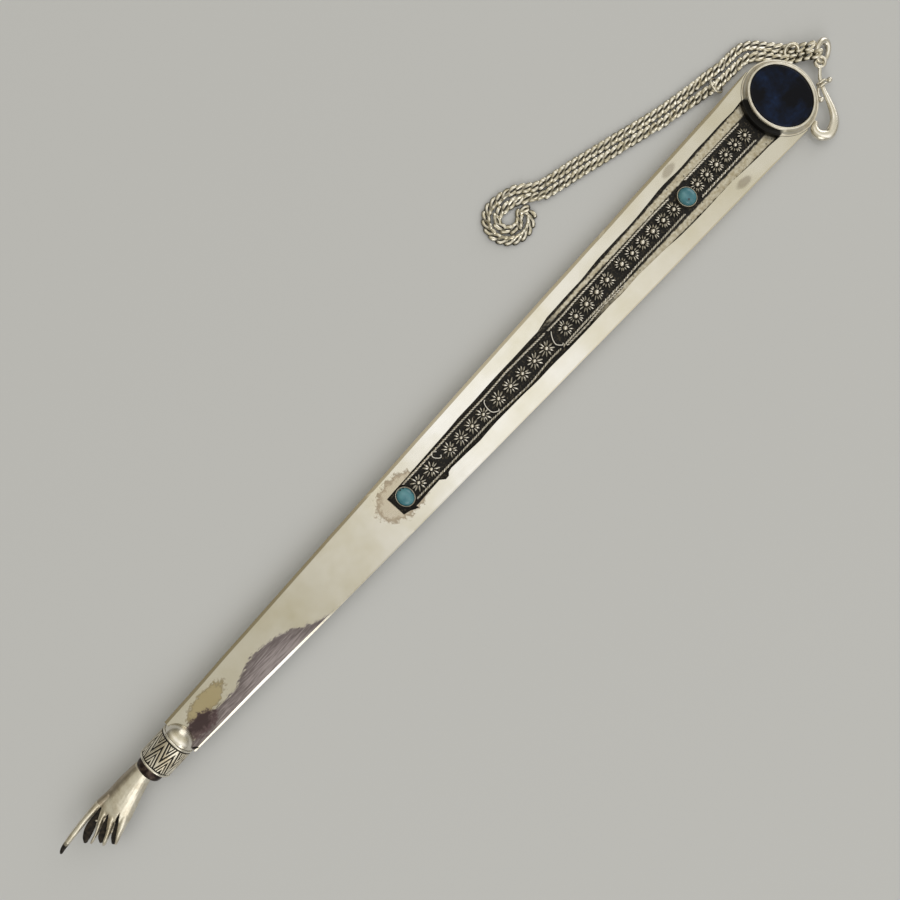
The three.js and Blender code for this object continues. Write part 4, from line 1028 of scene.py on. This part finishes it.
# Rosettes: wire petals that rise to a grain; where there are two values, the first is for the low runs
rosettes = {"petal": 0.14, "height": 0.45, "grain": (0.42, 0.56), "count": 28, "lowRuns": 11,
            "inner": (0.56, 0.74), "outer": 1.64, "petals": (11, 14), "thicker": (1.15, 1), "size": 3.3,
            "tall": 1.6, "foot": 0.62, "rise": 0.2, "riseOver": 1.8, "grainHeight": 0.5,
            "offsets": [(100, 0), (112, -0.05), (133, -0.25), (140, -0.2), (152, 0.3), (170, 0.22), (190, 0.05)]}


def petal(angle, inner, outer, width):
    # one short flattened wire, thick in its middle
    share = np.linspace(0, 1, 7)
    reach = inner + (outer - inner) * share
    line = np.stack([reach * math.cos(angle), reach * math.sin(angle), 0 * reach], axis=1)
    return line, width * (0.45 + 0.55 * np.sin(math.pi * share))


def nodeInside(name):
    # a CAD node's middle in the pointer's frame, and its box's length and width in millimetres
    low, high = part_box(name)
    return fromPointer.inverted() @ ((low + high) / 2), [(b - a) / millimetre for a, b in zip(low, high)]


random.seed(3)
offsetX, offsetY = np.array(rosettes["offsets"]).T
for number in range(1, rosettes["count"] + 1):
    node = f"rosette_{number:02d}"
    centre, (long, wide, _) = nodeInside(node)
    aside = float(np.interp(centre.x, offsetX, offsetY))
    longer, wider = long / rosettes["size"], wide / rosettes["size"]
    fine = int(number > rosettes["lowRuns"])
    petals = rosettes["petals"][fine]
    spin = random.uniform(0, math.pi)
    wires = []
    for i in range(petals):
        angle = spin + 2 * math.pi * i / petals + random.uniform(-0.1, 0.1)
        line, thick = petal(angle, rosettes["inner"][fine], rosettes["outer"] * random.uniform(0.85, 1.04),
                            rosettes["petal"] * random.uniform(0.8, 1.25) * rosettes["thicker"][fine])
        line[:, 0] *= longer
        line[:, 1] *= wider
        rise = 1 - np.clip(np.hypot(line[:, 0], line[:, 1]) / rosettes["riseOver"], 0, 1)
        line[:, 2] = rosettes["height"] * (rosettes["foot"] + rosettes["rise"] * rise) + random.uniform(-0.04,
                0.06)
        wires.append(sweep(line + (centre.x, aside, channel["floor"]), thick, thick * rosettes["tall"], 8))
    grain = rosettes["grain"][fine] * min(1, longer) * random.uniform(0.85, 1.05)
    wires.append(ball((centre.x, aside, channel["floor"] + rosettes["grainHeight"]), grain, squash=0.8))
    makePiece(f"filigree_{node}", wires, filigreeSilver, stands=(node,))

# each scroll is a curl of flattened wire: x and y along its line
scrolls = {"wire": 0.12, "tall": 0.22, "height": 0.3, "lines": {
    1: [(104.92, 0.53), (104.5, 0.2), (103.94, 0.61), (103.51, 1.4), (104.04, 2.1), (104.75, 1.56)],
    2: [(118.35, 1.6), (117.9, 1.34), (117.54, 0.33), (117.64, -0.99), (118.64, -1.75), (118.95, -1.5)],
    3: [(136.1, 1.3), (135.7, 0.85), (135.16, -0.08), (134.98, -1.09), (135.68, -2.0), (136.1, -1.85)]}}
for number, points in scrolls["lines"].items():
    centre, _ = nodeInside(f"scroll_wire_{number}")
    curl = np.array([(x, y, 0) for x, y in points])
    curl[:, 0] += centre.x - curl[:, 0].mean()
    curl[:, 2] = channel["floor"] + scrolls["height"]
    makePiece(f"scroll_{number}", [sweep(smoothLine(curl, 40), scrolls["wire"], scrolls["tall"], 6)],
              filigreeSilver,
              stands=(f"scroll_wire_{number}",))
print("filigree made")

# Turquoises: low domes in thin cups
stoneSides = 40
for name in ("tip", "top"):
    centre, (long, wide, _) = nodeInside(f"turquoise_cup_{name}")
    rim, extra = long / 2, (wide - long) / 2
    middle = (centre.x, 0, channel["floor"])
    cupProfile = [(1e-4, 0), (rim - 0.05, 0), (rim, 0.06), (rim, 0.92), (rim - 0.04, 0.99), (rim - 0.1, 0.99),
                  (rim - 0.15, 0.92), (rim - 0.15, 0.3), (1e-4, 0.3)]
    makePiece(f"thin_cup_{name}", [lathe(cupProfile, stoneSides, extra, at=middle)], wireSilver,
              stands=(f"turquoise_cup_{name}",))
    radius, foot, rise = rim - 0.2, 0.35, 1.6
    dome = [(1e-4, foot), (radius - 0.03, foot), (radius, foot + 0.05), (radius, foot + 0.4 * rise)]
    dome += [(max(radius * math.cos(a) ** 0.8, 1e-4), foot + rise * (0.4 + 0.6 * math.sin(a)))
             for a in np.linspace(0.12, math.pi / 2, 12)]
    makePiece(f"turquoise_cabochon_{name}", [lathe(dome, stoneSides, extra, at=middle)], turquoise,
              stands=(f"turquoise_{name}",))

# Bezel and flat stone
bezelSides = 128
bezelMiddle = (bezelShape["x"], 0, channel["floor"])
bezelProfile = [(1e-4, 0), (6.7, 0), (6.78, 0.08), (6.78, 1.22), (6.74, 1.31), (6.66, 1.34), (6.57, 1.31),
                (6.5, 1.28), (6.34, 1.42), (6.2, 1.62), (6.08, 1.86), (5.99, 2.1), (5.93, 2.24), (5.88, 2.33),
                (5.8, 2.38), (5.68, 2.4), (5.56, 2.4), (5.46, 2.37), (5.41, 2.31), (5.41, 0.5), (1e-4, 0.5)]
makePiece("oval_bezel", [lathe(bezelProfile, bezelSides, bezelShape["extra"], at=bezelMiddle)], bezelSilver,
          stands=("bezel",))
stoneProfile = [(1e-4, 0.55), (5.36, 0.55), (5.36, 2.05), (5.33, 2.15), (5.26, 2.23), (5.14, 2.28),
                (4.9, 2.3), (1e-4, 2.3)]
makePiece("flat_oval_stone", [lathe(stoneProfile, bezelSides, bezelShape["extra"], at=bezelMiddle)], blueStone,
          stands=("oval_stone",), sharp=30)
print("stones made")

# Bail: an S of half-round silver with an eye at its narrow end
bail = {"x": 198.65, "length": 10.3, "reach": 11.542, "lift": 0.5, "width": 2.1, "thickness": 1.5,
        "eye": (1, -0.0784), "eyeRadius": 0.95, "eyeWire": 0.34, "solderAt": (199.93, -8.0, 0.4), "solder": 0.4,
        "curlEnd": 0.38}
bailShares = [(0.126, -0.708, 0.5), (0.039, -0.758, 0.74), (0, -0.845, 0.92), (0.039, -0.936, 1),
              (0.15, -1, 1.02),
              (0.296, -0.966, 0.97), (0.422, -0.884, 0.82), (0.524, -0.741, 0.66), (0.612, -0.563, 0.5),
              (0.68, -0.42, 0.42), (0.785, -0.255, 0.37), (0.936, -0.131, 0.36)]
bailLine = smoothLine([(bail["x"] + x * bail["length"], y * bail["reach"], bail["lift"], w)
                       for x, y, w in bailShares], 110)
thin = bailLine[:, 3]
bailBar = sweep(bailLine, thin * bail["width"] / 2, thin * bail["thickness"] / 2, 20, flatten=0.75)
eyeX, eyeY = bail["x"] + bail["eye"][0] * bail["length"], bail["eye"][1] * bail["reach"]
eyeLine = flatOval(56, bail["eyeRadius"], bail["eyeRadius"]) + (eyeX, eyeY, bail["lift"])
solder = ball(bail["solderAt"], bail["solder"], squash=0.9)  # where the curled end touches the bezel's foot
bailEye = sweep(eyeLine, bail["eyeWire"], bail["eyeWire"], 12, closed=True)
makePiece("s_bail", [bailBar, bailEye, solder, ball(bailLine[0, :3], bail["curlEnd"])], castSilver,
          stands=("bail",))

# The ball-ended wire is wound round the bail's neck; it and the end ring turn on their own
joints = {j["name"]: j for j in frame["joints"]}


def jointFrame(name):
    joint = joints[name]
    x = Vector(joint["axis"]).normalized()
    z = (Vector((0, 0, 1)) - x * x.z).normalized()
    turn = Matrix((x, z.cross(x), z)).transposed().to_4x4()
    return Matrix.Translation(joint["pos_m"]) @ turn @ Matrix.Scale(millimetre, 4)


ballWire = {"wire": 0.26, "ball": 0.57, "wrap": 0.7995, "turns": 1.5, "pitch": 0.69}
wrap = [(-2.805, 1.1, 0), (-1.76, 1.155, -0.11)]
for i in range(13):
    turnShare = i / 12 * ballWire["turns"]
    angle = turnShare * 2 * math.pi
    wrap.append(((turnShare - ballWire["turns"] / 2) * ballWire["pitch"], ballWire["wrap"] * math.cos(angle),
                 ballWire["wrap"] * math.sin(angle)))
wrap += [(0.495, -1.43, -0.495), (0.385, -1.925, -0.55)]
wrapLine = smoothLine(wrap, 110)
wireParts = [sweep(wrapLine, ballWire["wire"], ballWire["wire"], 10)]
wireParts += [ball(end, ballWire["ball"], 24, 14) for end in (wrap[0], wrap[-1])]
makePiece("ball_wire", wireParts, castSilver, body="ball_ended_wire",
          stands=("ball_ended_wire",), matrix=jointFrame("ball_wire_swing"))

endRing = {"length": 4.1, "width": 2.8, "wire": 0.34, "farWire": 0.68, "roll": math.radians(26)}
flatEndRing = flatOval(64, endRing["length"] / 2, endRing["width"] / 2) + (endRing["length"] / 2, 0, 0)
ringWire = endRing["wire"] + (endRing["farWire"] - endRing["wire"]) * flatEndRing[:, 0] / endRing["length"]
rolled = flatEndRing @ np.array(Matrix.Rotation(endRing["roll"], 3, "X")).T
makePiece("oval_end_ring", [sweep(rolled, ringWire, ringWire, 12, closed=True)], castSilver,
          body="end_ring", stands=("end_ring",), matrix=jointFrame("end_ring_swing"))
print("bail made")

# Floor, light and surroundings
floorMesh = bpy.data.meshes.new("table")
floorMesh.from_pydata([(-3, -3, 0), (3, -3, 0), (3, 3, 0), (-3, 3, 0)], [], [(0, 1, 2, 3)])
floorPiece = addObject("table", floorMesh)
paper, addToPaper = newMaterial("matteGreyPaper")
finishMaterial(addToPaper, {"Base Color": linear("#ccced2"), "Roughness": 0.9})
floorMesh.materials.append(paper)

lamps = {
    "keyBox": {"at": (-0.45, -0.55, 0.5), "size": 0.45, "watts": 1.15, "colour": "#fffdfa"},
    "rimBox": {"at": (0.8, 0.1, 0.26), "size": 0.5, "watts": 1.08, "colour": "#fffdfa"},
}
for name, box in lamps.items():
    lampData = bpy.data.lights.new(name, "AREA")
    lampData.size = box["size"]
    lampData.energy = box["watts"]
    lampData.color = linear(box["colour"])[:3]
    lamp = addObject(name, lampData)
    lamp.location = box["at"]
    lamp.rotation_euler = (-Vector(box["at"])).to_track_quat("-Z", "Y").to_euler()

# The room: dark low down, pale above. Along the pointer the ceiling is whitest over its middle, and the wall
# behind the chain is darker. The camera sees a plain pale backdrop instead, and metal sees it at the horizon.
room = {"Z": [(0.0, "#55534f"), (0.35, "#b5b5b3"), (0.65, "#e6e6e5"), (0.88, "#ffffff")],
        "X": [(0.28, "#b8b4a6"), (0.4, "#bfbbad"), (0.46, "#dbd8cf"), (0.5, "#ffffff"), (0.57, "#fbfaf7"),
              (0.64, "#e3e0d7"), (0.72, "#cdc9bb"), (0.9, "#cdc9bb"), (0.96, "#ffffff")],
        "Y": [(0.32, "#d9d9d9"), (0.44, "#c6c6c6"), (0.58, "#c6c6c6"), (0.68, "#cfcecb"), (0.88, "#a9a69e")]}
world = bpy.data.worlds.new("room")
bpy.context.scene.world = world
world.use_nodes = True
world.node_tree.nodes.clear()
addToWorld = partial(addNode, world.node_tree)
direction = addToWorld("SeparateXYZ", {0: addToWorld("TexCoord").outputs["Generated"]})
lit = None
for axis, stops in room.items():
    source = direction.outputs[axis]
    if axis != "Z":
        source = addToWorld("MapRange", {"Value": source, "From Min": -1})
    ramp = addToWorld("ValToRGB", {0: source})
    while len(ramp.color_ramp.elements) < len(stops):
        ramp.color_ramp.elements.new(1)
    for element, (position, colour) in zip(ramp.color_ramp.elements, stops):
        element.position = position
        element.color = linear(colour)
    tone = ramp.outputs["Color"]
    if lit is None:
        lit = tone
    else:
        lit = addToWorld("Mix", {0: 1, 6: lit, 7: tone}, data_type="RGBA", blend_type="MULTIPLY").outputs[2]
seen = addToWorld("LightPath")
reflected = addToWorld("Math", {0: seen.outputs["Is Glossy Ray"], 1: seen.outputs["Is Transmission Ray"]},
                       operation="ADD")
horizon = addToWorld("MapRange", {"Value": direction.outputs["Z"], "From Min": 0.1, "From Max": 0.05})
farOff = addToWorld("Math", {0: reflected, 1: horizon}, operation="MULTIPLY")
backdrop = addToWorld("Math", {0: seen.outputs["Is Camera Ray"], 1: farOff}, operation="MAXIMUM")
shade = addToWorld("Mix", {0: backdrop, 6: lit, 7: linear("#8e8d8b")}, data_type="RGBA")
sky = addToWorld("Background", {"Color": shade, "Strength": 2.22})
addToWorld("OutputWorld", {"Surface": sky})
print("stage set")
